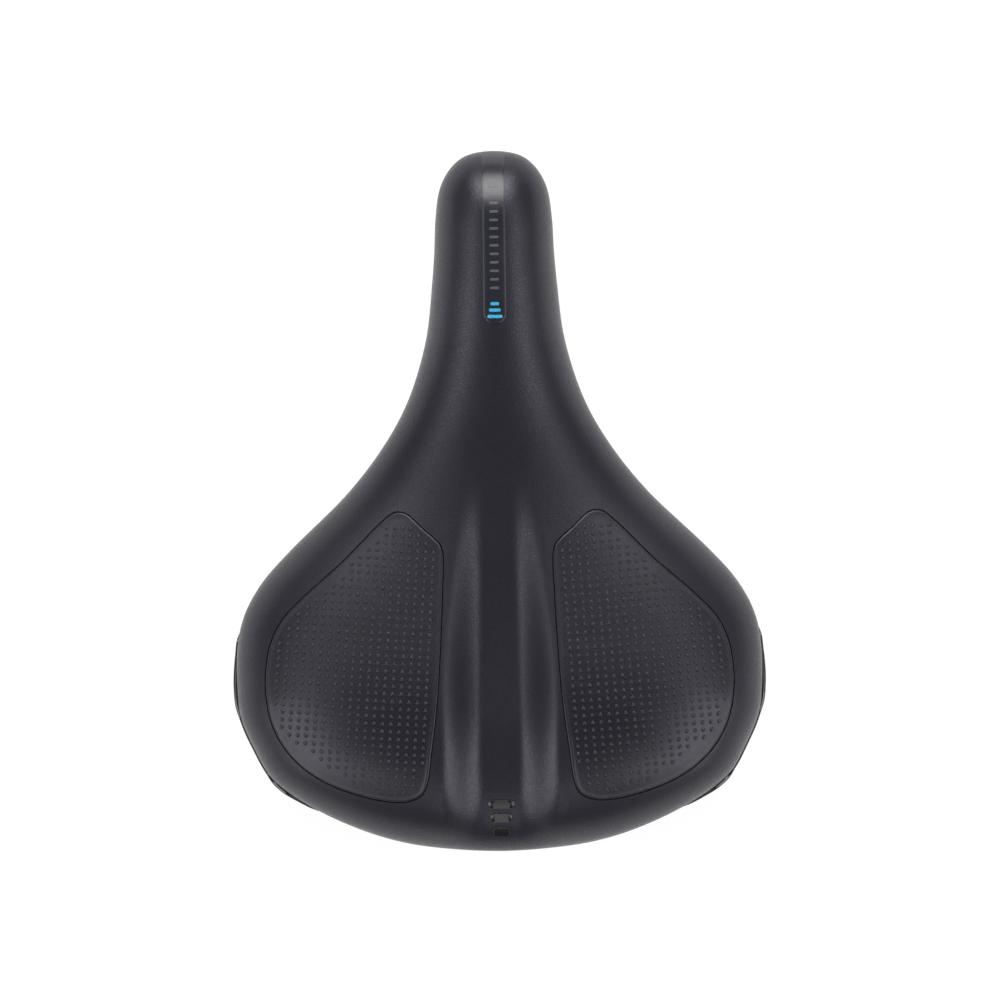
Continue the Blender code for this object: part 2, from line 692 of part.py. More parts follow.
def paint(shape, *finish):
    shape.data.materials.clear()
    shape.data.materials.append(material(shape.name, *finish))
    return shape


SKIN_BLACK = ((0.032, 0.030, 0.037), 0.55)
PANEL_GREY = ((0.036, 0.035, 0.045), 0.6)
PLASTIC = ((0.018, 0.018, 0.020), 0.45)
RUBBER = ((0.02, 0.02, 0.022), 0.8)
FOAM = ((0.75, 0.66, 0.42), 0.9)
GEL = ((0.16, 0.36, 0.52), 0.35)
STEEL = ((0.62, 0.63, 0.65), 0.28, 1.0)
BLACK_STEEL = ((0.05, 0.05, 0.055), 0.42, 0.6)


def frame_pieces():
    made = [paint(rails(), *STEEL), paint(rear_bridge(), *BLACK_STEEL)]
    for name, sign in SIDES:
        place = (sign * SPRING_X, SPRING_Y)
        cup = ring(f"{name}_lower_cup", SPRING_RADIUS + 1 * MM, BRIDGE_HOLE_RADIUS,
                   BRIDGE_TOP + GAP, BRIDGE_TOP + GAP + CUP, place)
        made += [paint(cup, *STEEL), paint(elastomer(f"{name}_elastomer", place), *RUBBER)]
    return made


def seat_pieces():
    made = [paint(base_shell(), *PLASTIC), paint(foam_core(), *FOAM), paint(cover(), *SKIN_BLACK)]
    made += [paint(nose_bush(), *RUBBER), paint(nose_clamp(), *BLACK_STEEL)]
    for name, sign in SIDES:
        place = (sign * SPRING_X, SPRING_Y)
        screw = (sign * CLAMP_SCREW_X, CLAMP_SCREW_Y)
        cup = ring(f"{name}_upper_cup", SPRING_RADIUS + 1 * MM, BOLT_RADIUS + GAP,
                   SPRING_TOP + GAP, SPRING_TOP + GAP + CUP, place)
        washer = ring(f"{name}_bolt_washer", WASHER_RADIUS, BOLT_RADIUS + GAP,
                      BRIDGE_BOTTOM - GAP - CUP, BRIDGE_BOTTOM - GAP, place)
        insert = ring(f"{name}_insert", INSERT_RADIUS, BOLT_RADIUS + GAP,
                      BOSS_BOTTOM, BOSS_BOTTOM + INSERT_LENGTH, place)
        made += [
            paint(grip_panel(name, sign), *PANEL_GREY),
            paint(gel_pad(name, sign), *GEL),
            paint(scuff_guard(name, sign), *PLASTIC),
            paint(cup, *STEEL),
            paint(guide_bolt(f"{name}_guide_bolt", place), *STEEL),
            paint(washer, *STEEL),
            paint(insert, *STEEL),
            paint(clamp_screw(f"{name}_nose_screw", screw), *STEEL),
        ]
    return made


def hang(name, place, pieces):
    """Parents pieces to an empty, which leaves them where they were modelled."""
    anchor = bpy.data.objects.new(name, None)
    anchor.location = place
    bpy.context.scene.collection.objects.link(anchor)
    for piece in pieces:
        piece.parent = anchor
        piece.location = -Vector(place)


def main():
    for old in list(bpy.data.objects):
        bpy.data.objects.remove(old)
    hang("rail_frame", (0, 0, 0), frame_pieces())
    hang("seat_top", PIVOT, seat_pieces())


main()
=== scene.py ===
"""The looks of a bicycle saddle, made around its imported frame: a grained skin over foam, dotted
grip panels, glossy trim, and the steel, rubber and moulded parts underneath."""

import functools
import math

import bmesh
import bpy
import numpy as np
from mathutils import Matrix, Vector


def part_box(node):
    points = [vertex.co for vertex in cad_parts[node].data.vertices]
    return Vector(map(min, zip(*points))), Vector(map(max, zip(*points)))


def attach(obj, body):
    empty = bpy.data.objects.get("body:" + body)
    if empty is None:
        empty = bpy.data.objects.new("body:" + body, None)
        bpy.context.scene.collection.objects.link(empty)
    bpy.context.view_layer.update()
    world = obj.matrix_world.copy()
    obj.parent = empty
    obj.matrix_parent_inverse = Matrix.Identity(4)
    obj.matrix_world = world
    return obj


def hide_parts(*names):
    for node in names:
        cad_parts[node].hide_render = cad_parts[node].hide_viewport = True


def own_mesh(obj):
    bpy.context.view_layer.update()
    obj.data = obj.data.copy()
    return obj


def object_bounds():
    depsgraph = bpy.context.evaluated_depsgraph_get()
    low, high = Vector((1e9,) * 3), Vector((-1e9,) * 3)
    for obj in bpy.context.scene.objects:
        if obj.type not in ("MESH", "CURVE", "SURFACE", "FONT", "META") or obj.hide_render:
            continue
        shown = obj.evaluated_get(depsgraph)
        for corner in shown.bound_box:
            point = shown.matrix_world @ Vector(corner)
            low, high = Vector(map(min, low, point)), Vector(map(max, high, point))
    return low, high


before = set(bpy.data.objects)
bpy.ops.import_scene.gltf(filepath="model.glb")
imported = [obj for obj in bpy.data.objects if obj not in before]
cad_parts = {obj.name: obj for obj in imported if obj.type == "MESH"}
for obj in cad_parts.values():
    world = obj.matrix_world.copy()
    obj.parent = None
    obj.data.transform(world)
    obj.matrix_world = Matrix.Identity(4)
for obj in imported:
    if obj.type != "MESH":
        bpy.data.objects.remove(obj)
CAD_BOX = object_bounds()

bl_info = {
    "name": "Bicycle saddle",
    "version": (1, 0, 0),
    "blender": (4, 5, 0),
    "location": "3D View > Sidebar > Saddle",
    "description": "Builds the pieces and finishes of a sprung bicycle saddle around its frame",
    "category": "Object",
}

MM = 0.001
SEAT, RAILS = "seat_top", "rail_frame"
SIDES = (("left", -1), ("right", 1))

# Plan and heights, as the frame has them
NOSE_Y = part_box("cover")[1][1]
TAIL_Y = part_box("cover")[0][1]
LENGTH = NOSE_Y - TAIL_Y
WIDTH = 0.198
NOSE_WIDTH = 0.045
NOSE_TOP, MIDDLE_TOP, TAIL_TOP = 0.049, 0.052, 0.077
NOSE_RIM, MIDDLE_RIM, TAIL_RIM = 0.029, 0.027, 0.043
SKIRT = 0.009  # height of the side wall below the widest line
TUMBLEHOME = 0.0015  # how far that wall leans in
CHANNEL_DEPTH = 0.0105
CHANNEL_FLOOR, CHANNEL_SHOULDER = 0.0065, 0.023  # from its middle, at the tail
SKIN = 0.0012
GAP = 0.3 * MM
NOSE_FOAM, TAIL_FOAM, EDGE_FOAM = 0.009, 0.020, 0.0033
BASE_WALL = 0.0026
GEL_THICKNESS = 0.006
GEL_SHARE = 0.86  # of the grip panel above it

# Places read from the frame
SPRING_LOW, SPRING_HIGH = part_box("right_elastomer")
SPRING_X = (SPRING_LOW[0] + SPRING_HIGH[0]) / 2
SPRING_Y = (SPRING_LOW[1] + SPRING_HIGH[1]) / 2
SPRING_RADIUS = (SPRING_HIGH[1] - SPRING_LOW[1]) / 2
SPRING_BORE = 5.0 * MM  # radius
CUP_BORE, BOLT_BORE = 5.2 * MM, 3.3 * MM  # radii that clear the guide bolt's head and shank
BRIDGE_LOW, BRIDGE_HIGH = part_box("rear_bridge")
BUSH_LOW, BUSH_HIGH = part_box("nose_bush")
CLAMP_LOW, CLAMP_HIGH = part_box("nose_clamp")

# The rail's line
RAIL_RADIUS = 0.0035
RAIL_HALF_GAUGE = 0.022
RAIL_TIP_Y, RAIL_TIP_Z, RAIL_TIP_RADIUS = 0.114, 0.0272, 0.0075
RAIL_TAIL_X, RAIL_TAIL_Z = 0.026, 0.006
CLAMP_FRONT_Y, CLAMP_REAR_Y = 0.038, -0.036
BRIDGE_WIDTH = 0.034
BUSH_PLAY = 0.8 * MM

# Plan of the nose tip: millimetres behind it, and share of the nose's half width
NOSE_ROUND = ((0, 0), (1.5, 0.43), (4.5, 0.64), (9, 0.8), (15, 0.915), (26, 0.985), (38, 1.01))
# From the nose to the widest point: share of the length, and share of the width that is gained
FLARE = (
    (0.19, 0.016), (0.27, 0.05), (0.357, 0.144), (0.42, 0.265), (0.486, 0.443),
    (0.571, 0.745), (0.614, 0.878), (0.657, 0.963), (0.7, 1.0),
)
# Plan of the tail: millimetres ahead of it, and share of the half width
TAIL_ROUND = (
    (60, 1.003), (51, 0.989), (40, 0.942), (28, 0.87), (17, 0.715), (8, 0.518), (3.4, 0.36),
    (1, 0.19), (0, 0),
)
# Plan of the right grip panel: share of the half width, and share of the length
PANEL = (
    (0.352, 0.5165), (0.395, 0.5155), (0.445, 0.529), (0.59, 0.583), (0.75, 0.636), (0.83, 0.668),
    (0.872, 0.7), (0.89, 0.735), (0.892, 0.77), (0.872, 0.812), (0.824, 0.848), (0.75, 0.878),
    (0.652, 0.901), (0.527, 0.918), (0.427, 0.926), (0.355, 0.926), (0.3, 0.917),
    (0.277, 0.898), (0.262, 0.858), (0.24, 0.796), (0.224, 0.72), (0.212, 0.63), (0.209, 0.575),
    (0.220, 0.562), (0.285, 0.5385),
)


# ---------------------------------------------------------------- shape of the cover

def smooth(low, high, value):
    """0 below low, 1 above high, and an even ease between them."""
    share = np.clip((value - low) / (high - low), 0, 1)
    return share * share * (3 - 2 * share)


def mix(start, end, low, high, t):
    """What lies between start and end when t lies between low and high."""
    return start + (end - start) * ((t - low) / (high - low))


def curve_through(points, steps):
    """A centripetal Catmull-Rom curve from the second point to the last but one."""
    points = [np.array(point, float) for point in points]
    found = []
    for a, b, c, d in zip(points, points[1:], points[2:], points[3:]):
        pairs = ((a, b), (b, c), (c, d))
        knots = np.cumsum([0] + [math.sqrt(np.linalg.norm(q - p)) for p, q in pairs])
        t = np.linspace(knots[1], knots[2], steps, endpoint=False)[:, None]
        first, second, third = (
            mix(p, q, knots[k], knots[k + 1], t) for k, (p, q) in enumerate(pairs)
        )
        early = mix(first, second, knots[0], knots[2], t)
        late = mix(second, third, knots[1], knots[3], t)
        found.append(mix(early, late, knots[1], knots[2], t))
    return np.concatenate([*found, [points[-2]]])


def closed_curve(corners, steps):
    """The same curve round a closed outline."""
    return curve_through([corners[-1], *corners, corners[0], corners[1]], steps)[:-1]


def half_outline():
    """The right half of the cover's plan, from the nose tip to the tail."""
    nose, full = NOSE_WIDTH / 2, WIDTH / 2
    stations = [(share * nose, NOSE_Y - gone * MM) for gone, share in NOSE_ROUND]
    stations += [(nose + (full - nose) * share, NOSE_Y - LENGTH * gone) for gone, share in FLARE]
    stations += [(share * full, TAIL_Y + left * MM) for left, share in TAIL_ROUND]
    first, last = stations[1], stations[-2]
    stations = [(-first[0], first[1]), *stations, (-last[0], last[1])]
    return curve_through(stations, 40)


def paced(points):
    """0 to 1 along the outline, counting both its length and how much it turns."""
    steps = np.diff(points, axis=0)
    lengths = np.hypot(*steps.T)
    angles = np.unwrap(np.arctan2(steps[:, 1], steps[:, 0]))
    turns = np.abs(np.diff(angles, prepend=angles[0]))
    total = np.concatenate([[0], np.cumsum(lengths / lengths.sum() + 0.5 * turns / math.pi)])
    return total / total[-1]


OUTLINE = half_outline()
PACE = paced(OUTLINE)
SPINE_NOSE_Y = NOSE_Y - NOSE_WIDTH * 0.62
SPINE_TAIL_Y = TAIL_Y + WIDTH * 0.4


def outline_at(u):
    """(x, y) of the outline; past either end it carries on along the mirrored side."""
    inside = 1 - np.abs(1 - np.abs(u))
    side = np.where((u < 0) | (u > 1), -1, 1)
    x, y = (np.interp(inside, PACE, OUTLINE[:, axis]) for axis in (0, 1))
    return side * x, y


def u_at(y):
    """Place on the outline, 0 at the nose to 1 at the tail, where it crosses y."""
    return float(np.interp(-y, -OUTLINE[:, 1], PACE))


def along(y):
    """Share of the length between the nose and y."""
    return (NOSE_Y - y) / LENGTH


def crown(y):
    """Height of the ridge."""
    nose = NOSE_TOP + (MIDDLE_TOP - NOSE_TOP) * smooth(-0.05, 0.2, along(y))
    return nose + (TAIL_TOP - MIDDLE_TOP) * smooth(0.4, 0.98, along(y))


def rim(y):
    """Height of the widest line."""
    nose = NOSE_RIM + (MIDDLE_RIM - NOSE_RIM) * smooth(0, 0.3, along(y))
    return nose + (TAIL_RIM - MIDDLE_RIM) * smooth(0.5, 1.05, along(y))


def channel(x, y):
    """How far the middle channel sinks the surface."""
    depth = CHANNEL_DEPTH * smooth(0.38, 0.8, along(y))
    spread = 0.62 + 0.38 * smooth(0.4, 0.8, along(y))
    return depth * (1 - smooth(CHANNEL_FLOOR * spread, CHANNEL_SHOULDER * spread, np.abs(x)))


def squareness(y):
    """Power of the cross section's curve: 2 is round, and more is flatter on top."""
    return 2.0 + 1.0 * smooth(0.35, 0.75, along(y))


def domed(u, ring, grooved=True):
    """Points of the cover's outside, and how high each is between its rim and its crown."""
    x, y = outline_at(u)
    spine_y = np.clip(y, SPINE_TAIL_Y, SPINE_NOSE_Y)
    out = ring * (2 - ring)
    px, py = x * out, spine_y + (y - spine_y) * out
    lift = np.sqrt(np.clip(1 - out ** squareness(y), 0, 1))
    height = crown(py) - rim(y) - (channel(px, py) if grooved else 0)
    return np.stack([px, py, rim(y) + height * lift], axis=-1), lift


def normals(u, ring, grooved=True):
    """Directions square to the cover's outside. On the ridge they come from its slope."""
    step = 0.003
    ahead, behind = (domed(u + side * step, ring, grooved)[0] for side in (1, -1))
    outer, inner = np.clip(ring + step, 0, 1), np.clip(ring - step, 0, 1)
    across = domed(u, outer, grooved)[0] - domed(u, inner, grooved)[0]
    found = np.cross(ahead - behind, across)
    y = np.clip(outline_at(u)[1], SPINE_TAIL_Y, SPINE_NOSE_Y)
    heights = [crown(y + side) - (channel(0, y + side) if grooved else 0) for side in (-MM, MM)]
    ridge = np.stack([0 * y, (heights[0] - heights[1]) / (2 * MM), 0 * y + 1], axis=-1)
    found = np.where((ring < step)[..., None], ridge, found)
    return found / np.linalg.norm(found, axis=-1, keepdims=True)


def edge_of(x, y):
    """How far the outline is from the ridge in a point's direction, and the y where it meets it."""
    reach = np.interp(-y, -OUTLINE[:, 1], OUTLINE[:, 0])
    edge_y = y
    for centre, sign in ((SPINE_NOSE_Y, 1), (SPINE_TAIL_Y, -1)):
        ahead = (OUTLINE[:, 1] - centre) * sign
        fan = ahead >= 0
        angles = np.arctan2(ahead[fan], OUTLINE[fan, 0])
        radii = np.hypot(ahead[fan], OUTLINE[fan, 0])
        order = np.argsort(angles)
        angle = np.arctan2(np.abs(y - centre), np.abs(x))
        radius = np.interp(angle, angles[order], radii[order])
        beyond = (y - centre) * sign > 0
        reach = np.where(beyond, radius, reach)
        edge_y = np.where(beyond, centre + sign * radius * np.sin(angle), edge_y)
    return reach, edge_y


def lift_at(x, y, furthest=1.0):
    """The outline's reach and y beyond (x, y), how far out it is, and its share of the height."""
    reach, edge_y = edge_of(x, y)
    spine_y = np.clip(y, SPINE_TAIL_Y, SPINE_NOSE_Y)
    out = np.clip(np.hypot(x, y - spine_y) / reach, 0, furthest)
    return reach, edge_y, out, np.sqrt(1 - out ** squareness(edge_y))


def height_at(x, y):
    """Height of the cover over any place in plan."""
    _, edge_y, _, lift = lift_at(x, y)
    return rim(edge_y) + (crown(y) - rim(edge_y) - channel(x, y)) * lift


def on_cover(x, y, lift):
    """Points over (x, y), a normal distance `lift` off the cover, and the normals there."""
    step = 0.25 * MM
    slope_x = (height_at(x + step, y) - height_at(x - step, y)) / (2 * step)
    slope_y = (height_at(x, y + step) - height_at(x, y - step)) / (2 * step)
    normal = np.stack([-slope_x, -slope_y, np.ones_like(x)], axis=-1)
    normal /= np.linalg.norm(normal, axis=-1, keepdims=True)
    points = np.stack([x, y, height_at(x, y)], axis=-1)
    return points + normal * np.asarray(lift)[..., None], normal


def edge_depth(edge_y):
    """Depth of the base's outside below the cover's, at the skirt."""
    return SKIN + 2 * GAP + EDGE_FOAM * (1 + 0.5 * smooth(0.3, 0.7, along(edge_y)))


def base_depth(edge_y, lift, y):
    """Depth of the base's outside below the cover's, anywhere."""
    middle = NOSE_FOAM + (TAIL_FOAM - NOSE_FOAM) * smooth(0.25, 0.75, along(y))
    return edge_depth(edge_y) + (SKIN + 2 * GAP + middle - edge_depth(edge_y)) * lift


def skirt_top(u):
    """Points where the skirt starts, and which way is out from each."""
    ones = np.ones_like(u)
    out = normals(u, ones) * (1, 1, 0)
    return domed(u, ones)[0], out / np.linalg.norm(out, axis=-1, keepdims=True)


def sheet(depth, around, rings, follows_base=False, bottom=0.0, wrap=None):
    """Loops of points from the ridge down the skirt, `depth` below the outside.

    They end `bottom` above the skirt's lower edge. A sheet that follows the base lies `depth`
    below the base's outside instead. One with a wrap turns in under the skirt and ends `wrap`
    deeper than the cover's own lower edge.
    """
    u, ring = np.meshgrid(np.linspace(0, 1, around + 1), np.linspace(0, 1, rings))
    points, lift = domed(u, ring, not follows_base)
    depth = depth + 0 * lift
    if follows_base:
        depth = depth + base_depth(outline_at(u)[1], lift, points[..., 1])
    normal = normals(u, ring, not follows_base)
    rows = points - normal * depth[..., None]
    rows[..., 0] = np.maximum(rows[..., 0], 0)
    out = normal[-1] * (1, 1, 0)
    out /= np.linalg.norm(out, axis=-1, keepdims=True)
    rows = np.concatenate([rows, skirt(points[-1], out, depth[-1], SKIRT - bottom, wrap)])
    rows[:, (0, -1), 0] = 0
    left = rows[:, -2:0:-1] * (-1, 1, 1)
    return np.concatenate([rows, left], axis=1)


def skirt(top, out, deep, tall, wrap):
    """Loops `deep` inside the skirt, and in under the base's edge where there is a wrap."""
    places = [(TUMBLEHOME * share ** 1.7, tall * share) for share in np.linspace(0.12, 1, 8)]
    if wrap is not None:
        soft = 0.9 * MM - (SKIRT - tall) * 0.4
        places.pop()
        for angle in np.radians(np.linspace(15, 90, 6)):
            places.append((TUMBLEHOME + soft * (1 - math.cos(angle)),
                           tall - soft * (1 - math.sin(angle))))
        for share in (0.35, 0.7, 1):
            places.append((TUMBLEHOME + soft + (wrap - deep - soft) * share, tall))
    return np.array([top - out * (inset + deep)[:, None] - (0, 0, drop) for inset, drop in places])


# ---------------------------------------------------------------- meshes

def link_object(name, mesh):
    made = bpy.data.objects.new(name, mesh)
    bpy.context.scene.collection.objects.link(made)
    return made


def shade(mesh, angle=40):
    """Smooth faces, with edges left sharp where they turn by more than `angle` degrees."""
    mesh.shade_smooth()
    mesh.set_sharp_from_angle(angle=math.radians(angle))


def add_object(name, points, faces, angle):
    mesh = bpy.data.meshes.new(name)
    mesh.from_pydata([tuple(map(float, point)) for point in points], [], faces)
    model = bmesh.new()
    model.from_mesh(mesh)
    bmesh.ops.remove_doubles(model, verts=model.verts, dist=0.002 * MM)
    bmesh.ops.dissolve_degenerate(model, edges=model.edges, dist=0.0005 * MM)
    bmesh.ops.recalc_face_normals(model, faces=model.faces)
    model.to_mesh(mesh)
    model.free()
    shade(mesh, angle)
    return link_object(name, mesh)


def lofted(name, loops, close_first=True, close_last=True, ring=False, angle=40):
    """A skin over loops of equal length. A ring joins the last loop back to the first."""
    loops = [np.asarray(loop, float) for loop in loops]
    around = len(loops[0])
    faces = []
    for row in range(len(loops) if ring else len(loops) - 1):
        following = (row + 1) % len(loops)
        for k in range(around):
            ahead = (k + 1) % around
            faces.append((row * around + k, row * around + ahead,
                          following * around + ahead, following * around + k))
    if not ring and close_first:
        faces.append(tuple(reversed(range(around))))
    if not ring and close_last:
        faces.append(tuple(range((len(loops) - 1) * around, len(loops) * around)))
    return add_object(name, np.concatenate(loops), faces, angle)


def between(name, outer, inner=None):
    """The closed solid from an outer sheet in to an inner one, or straight down to the rails."""
    loops = [*outer, *((outer[-1:] * (1, 1, 0)) if inner is None else inner[::-1])]
    return lofted(name, loops, close_first=False, close_last=inner is None, angle=50)


def prism(name, outline, low, high):
    loops = [[(x, y, z) for x, y in outline] for z in (low, high)]
    return lofted(name, loops)


def box(name, low, high):
    (x0, y0, z0), (x1, y1, z1) = low, high
    return prism(name, ((x0, y0), (x1, y0), (x1, y1), (x0, y1)), z0, z1)


def turned(name, profile, sides=48, centre=(0, 0)):
    """A solid of revolution about an upright axis, from a closed (radius, height) profile."""
    loops = []
    for angle in np.linspace(0, 2 * math.pi, sides, endpoint=False):
        turn = (math.cos(angle), math.sin(angle))
        loops.append([(centre[0] + r * turn[0], centre[1] + r * turn[1], z) for r, z in profile])
    return lofted(name, loops, ring=True)


ARC_STEPS = 4


def rounded(corners, radius, axis=True):
    """A closed outline with its corners eased by short arcs, but for those on a turning axis."""
    corners = [np.array(corner, float) for corner in corners]
    found = []
    neighbours = zip(corners[-1:] + corners[:-1], corners, corners[1:] + corners[:1])
    for before, corner, after in neighbours:
        if axis and corner[0] < 1e-9:
            found.append(corner)
            continue
        legs = [before - corner, after - corner]
        reach = [min(radius, np.linalg.norm(leg) * 0.45) for leg in legs]
        start, end = (corner + leg / np.linalg.norm(leg) * far for leg, far in zip(legs, reach))
        for t in np.linspace(0, 1, ARC_STEPS):
            found.append((1 - t) ** 2 * start + 2 * t * (1 - t) * corner + t * t * end)
    return found


def tube(name, line, radius, sides=28):
    """A round bar along a line of points, its ends eased."""
    line = np.array(line)
    tangents = np.gradient(line, axis=0)
    tangents /= np.linalg.norm(tangents, axis=1, keepdims=True)
    across = np.array((0.0, 0.0, 1.0))
    angles = np.linspace(0, 2 * math.pi, sides, endpoint=False)[:, None]
    loops = []
    for point, tangent in zip(line, tangents):
        across = across - tangent * across.dot(tangent)
        across /= np.linalg.norm(across)
        other = np.cross(tangent, across)
        loops.append(point + radius * (np.cos(angles) * across + np.sin(angles) * other))
    for index, far in ((0, -1), (-1, 1)):
        centre, tangent = line[index], tangents[index] * far
        caps = [centre + (loops[index] - centre) * (1 - share) + tangent * share * 0.7 * MM
                for share in (0.06, 0.2)]
        loops = [*caps[::-1], *loops] if index == 0 else [*loops, *caps]
    return lofted(name, loops, angle=50)


def combine(target, operation, *tools):
    """Cuts, joins or intersects a mesh with others, which are used up."""
    for tool in tools:
        modifier = target.modifiers.new("Combine", "BOOLEAN")
        modifier.operation = operation
        modifier.object = tool
        bake_modifiers(target)
        bpy.data.objects.remove(tool)
    return target


def bake_modifiers(piece):
    """Replaces a piece's mesh by what its modifiers make of it."""
    graph = bpy.context.evaluated_depsgraph_get()
    graph.update()
    mesh = bpy.data.meshes.new_from_object(piece.evaluated_get(graph))
    piece.modifiers.clear()
    old, piece.data = piece.data, mesh
    bpy.data.meshes.remove(old)
    shade(mesh)
    return piece


def joined(name, pieces):
    """One mesh of several, which are used up."""
    model = bmesh.new()
    for piece in pieces:
        model.from_mesh(piece.data)
        bpy.data.objects.remove(piece)
    mesh = bpy.data.meshes.new(name)
    model.to_mesh(mesh)
    model.free()
    return link_object(name, mesh)


def inside(points, outline):
    """Which plan points lie inside a closed outline."""
    x, y = points[:, 0], points[:, 1]
    found = np.zeros(len(points), bool)
    for (x0, y0), (x1, y1) in zip(outline, np.roll(outline, -1, axis=0)):
        crosses = (y0 > y) != (y1 > y)
        found ^= crosses & (x < (x1 - x0) * (y - y0) / (y1 - y0 + 1e-12) + x0)
    return found


# ---------------------------------------------------------------- repeated items

def socket_id(tree, name):
    return next(item.identifier for item in tree.interface.items_tree
                if item.item_type == "SOCKET" and item.in_out == "INPUT" and item.name == name)


def seating_tree():
    """Geometry nodes that set one item on every seat, turned to the seat's own directions."""
    if "Items on seats" in bpy.data.node_groups:
        return bpy.data.node_groups["Items on seats"]
    tree = bpy.data.node_groups.new("Items on seats", "GeometryNodeTree")
    for name, kind in (("Seats", "Geometry"), ("Item", "Object"), ("Finish", "Material")):
        tree.interface.new_socket(name, in_out="INPUT", socket_type=f"NodeSocket{kind}")
    tree.interface.new_socket("Items", in_out="OUTPUT", socket_type="NodeSocketGeometry")
    add, join = tree.nodes.new, tree.links.new
    start, end = add("NodeGroupInput"), add("NodeGroupOutput")
    item = add("GeometryNodeObjectInfo")
    join(start.outputs["Item"], item.inputs["Object"])
    turns = []
    for attribute, axis in (("up", "Z"), ("forward", "X")):
        direction = add("GeometryNodeInputNamedAttribute")
        direction.data_type = "FLOAT_VECTOR"
        direction.inputs["Name"].default_value = attribute
        turn = add("FunctionNodeAlignRotationToVector")
        turn.axis = axis
        turn.pivot_axis = "AUTO" if axis == "Z" else "Z"
        join(direction.outputs["Attribute"], turn.inputs["Vector"])
        turns.append(turn)
    join(turns[0].outputs["Rotation"], turns[1].inputs["Rotation"])
    place = add("GeometryNodeInstanceOnPoints")
    join(start.outputs["Seats"], place.inputs["Points"])
    join(item.outputs["Geometry"], place.inputs["Instance"])
    join(turns[1].outputs["Rotation"], place.inputs["Rotation"])
    real, finish = add("GeometryNodeRealizeInstances"), add("GeometryNodeSetMaterial")
    join(place.outputs["Instances"], real.inputs["Geometry"])
    join(real.outputs["Geometry"], finish.inputs["Geometry"])
    join(start.outputs["Finish"], finish.inputs["Material"])
    join(finish.outputs["Geometry"], end.inputs["Items"])
    return tree


def seated(name, item, seats, up, forward, finish):
    """One mesh of copies of an item, standing on seats. The item itself is used up."""
    mesh = bpy.data.meshes.new(name)
    mesh.from_pydata([tuple(map(float, seat)) for seat in seats], [], [])
    for attribute, values in (("up", up), ("forward", forward)):
        layer = mesh.attributes.new(attribute, "FLOAT_VECTOR", "POINT")
        spread = np.broadcast_to(np.asarray(values, np.float32), (len(seats), 3))
        layer.data.foreach_set("vector", np.ascontiguousarray(spread).ravel())
    holder = link_object(name, mesh)
    tree = seating_tree()
    modifier = holder.modifiers.new("Seats", "NODES")
    modifier.node_group = tree
    for socket, value in (("Item", item), ("Finish", finish)):
        modifier[socket_id(tree, socket)] = value
    graph = bpy.context.evaluated_depsgraph_get()
    graph.update()
    result = bpy.data.meshes.new_from_object(holder.evaluated_get(graph))
    bpy.data.objects.remove(holder)
    bpy.data.objects.remove(item)
    for attribute in ("up", "forward"):
        if attribute in result.attributes:
            result.attributes.remove(result.attributes[attribute])
    result.name = name
    return link_object(name, result)


# ---------------------------------------------------------------- finishes

def shader_group(name, inputs, outputs):
    tree = bpy.data.node_groups.new(name, "ShaderNodeTree")
    for socket, value in inputs.items():
        made = tree.interface.new_socket(socket, in_out="INPUT", socket_type="NodeSocketFloat")
        made.default_value = value
    for socket in outputs:
        tree.interface.new_socket(socket, in_out="OUTPUT", socket_type="NodeSocketFloat")
    start, end = tree.nodes.new("NodeGroupInput"), tree.nodes.new("NodeGroupOutput")
    place = tree.nodes.new("ShaderNodeTexCoord").outputs["Object"]
    return tree, start, end, place


def feed(tree, socket, value):
    """Gives a socket its number, or links another node's output to it."""
    if isinstance(value, (int, float)):
        socket.default_value = value
    else:
        tree.links.new(value, socket)


def maths(tree, operation, *values, clamp=False):
    node = tree.nodes.new("ShaderNodeMath")
    node.operation = operation
    node.use_clamp = clamp
    for socket, value in zip(node.inputs, values):
        feed(tree, socket, value)
    return node.outputs["Value"]


def noise(tree, place, scale, detail, roughness=0.5):
    node = tree.nodes.new("ShaderNodeTexNoise")
    for name, value in (("Vector", place), ("Scale", scale), ("Detail", detail),
                        ("Roughness", roughness)):
        feed(tree, node.inputs[name], value)
    return node.outputs["Fac"]


def cells(tree, place, scale):
    """Distance from the middle of the nearest cell."""
    node = tree.nodes.new("ShaderNodeTexVoronoi")
    feed(tree, node.inputs["Vector"], place)
    feed(tree, node.inputs["Scale"], scale)
    return node.outputs["Distance"]


def skin_grain():
    """Fine pebbled grain of coated fabric, with flecks where a pebble's top shines."""
    if "Skin grain" in bpy.data.node_groups:
        return bpy.data.node_groups["Skin grain"]
    tree, start, end, place = shader_group(
        "Skin grain", {"Pebbles": 1500.0, "Flecks": 2100.0}, ("Height", "Fleck", "Cloud"))
    pebble = cells(tree, place, start.outputs["Pebbles"])
    ripple = noise(tree, place, 700.0, 5.0, 0.6)
    height = maths(tree, "SUBTRACT", ripple, pebble)
    fleck = noise(tree, place, start.outputs["Flecks"], 1.0)
    shiny = maths(tree, "MULTIPLY", maths(tree, "SUBTRACT", fleck, 0.5), 9.0, clamp=True)
    tree.links.new(height, end.inputs["Height"])
    tree.links.new(shiny, end.inputs["Fleck"])
    tree.links.new(noise(tree, place, 22.0, 5.0, 0.6), end.inputs["Cloud"])
    return tree


def moulded_grain():
    """Spark-eroded texture of moulded or coated parts, and the soft marks of handling."""
    if "Moulded grain" in bpy.data.node_groups:
        return bpy.data.node_groups["Moulded grain"]
    tree, start, end, place = shader_group(
        "Moulded grain", {"Fineness": 1800.0, "Marks": 45.0}, ("Height", "Marks"))
    tree.links.new(noise(tree, place, start.outputs["Fineness"], 2.0), end.inputs["Height"])
    marks = noise(tree, place, start.outputs["Marks"], 6.0, 0.65)
    tree.links.new(marks, end.inputs["Marks"])
    return tree


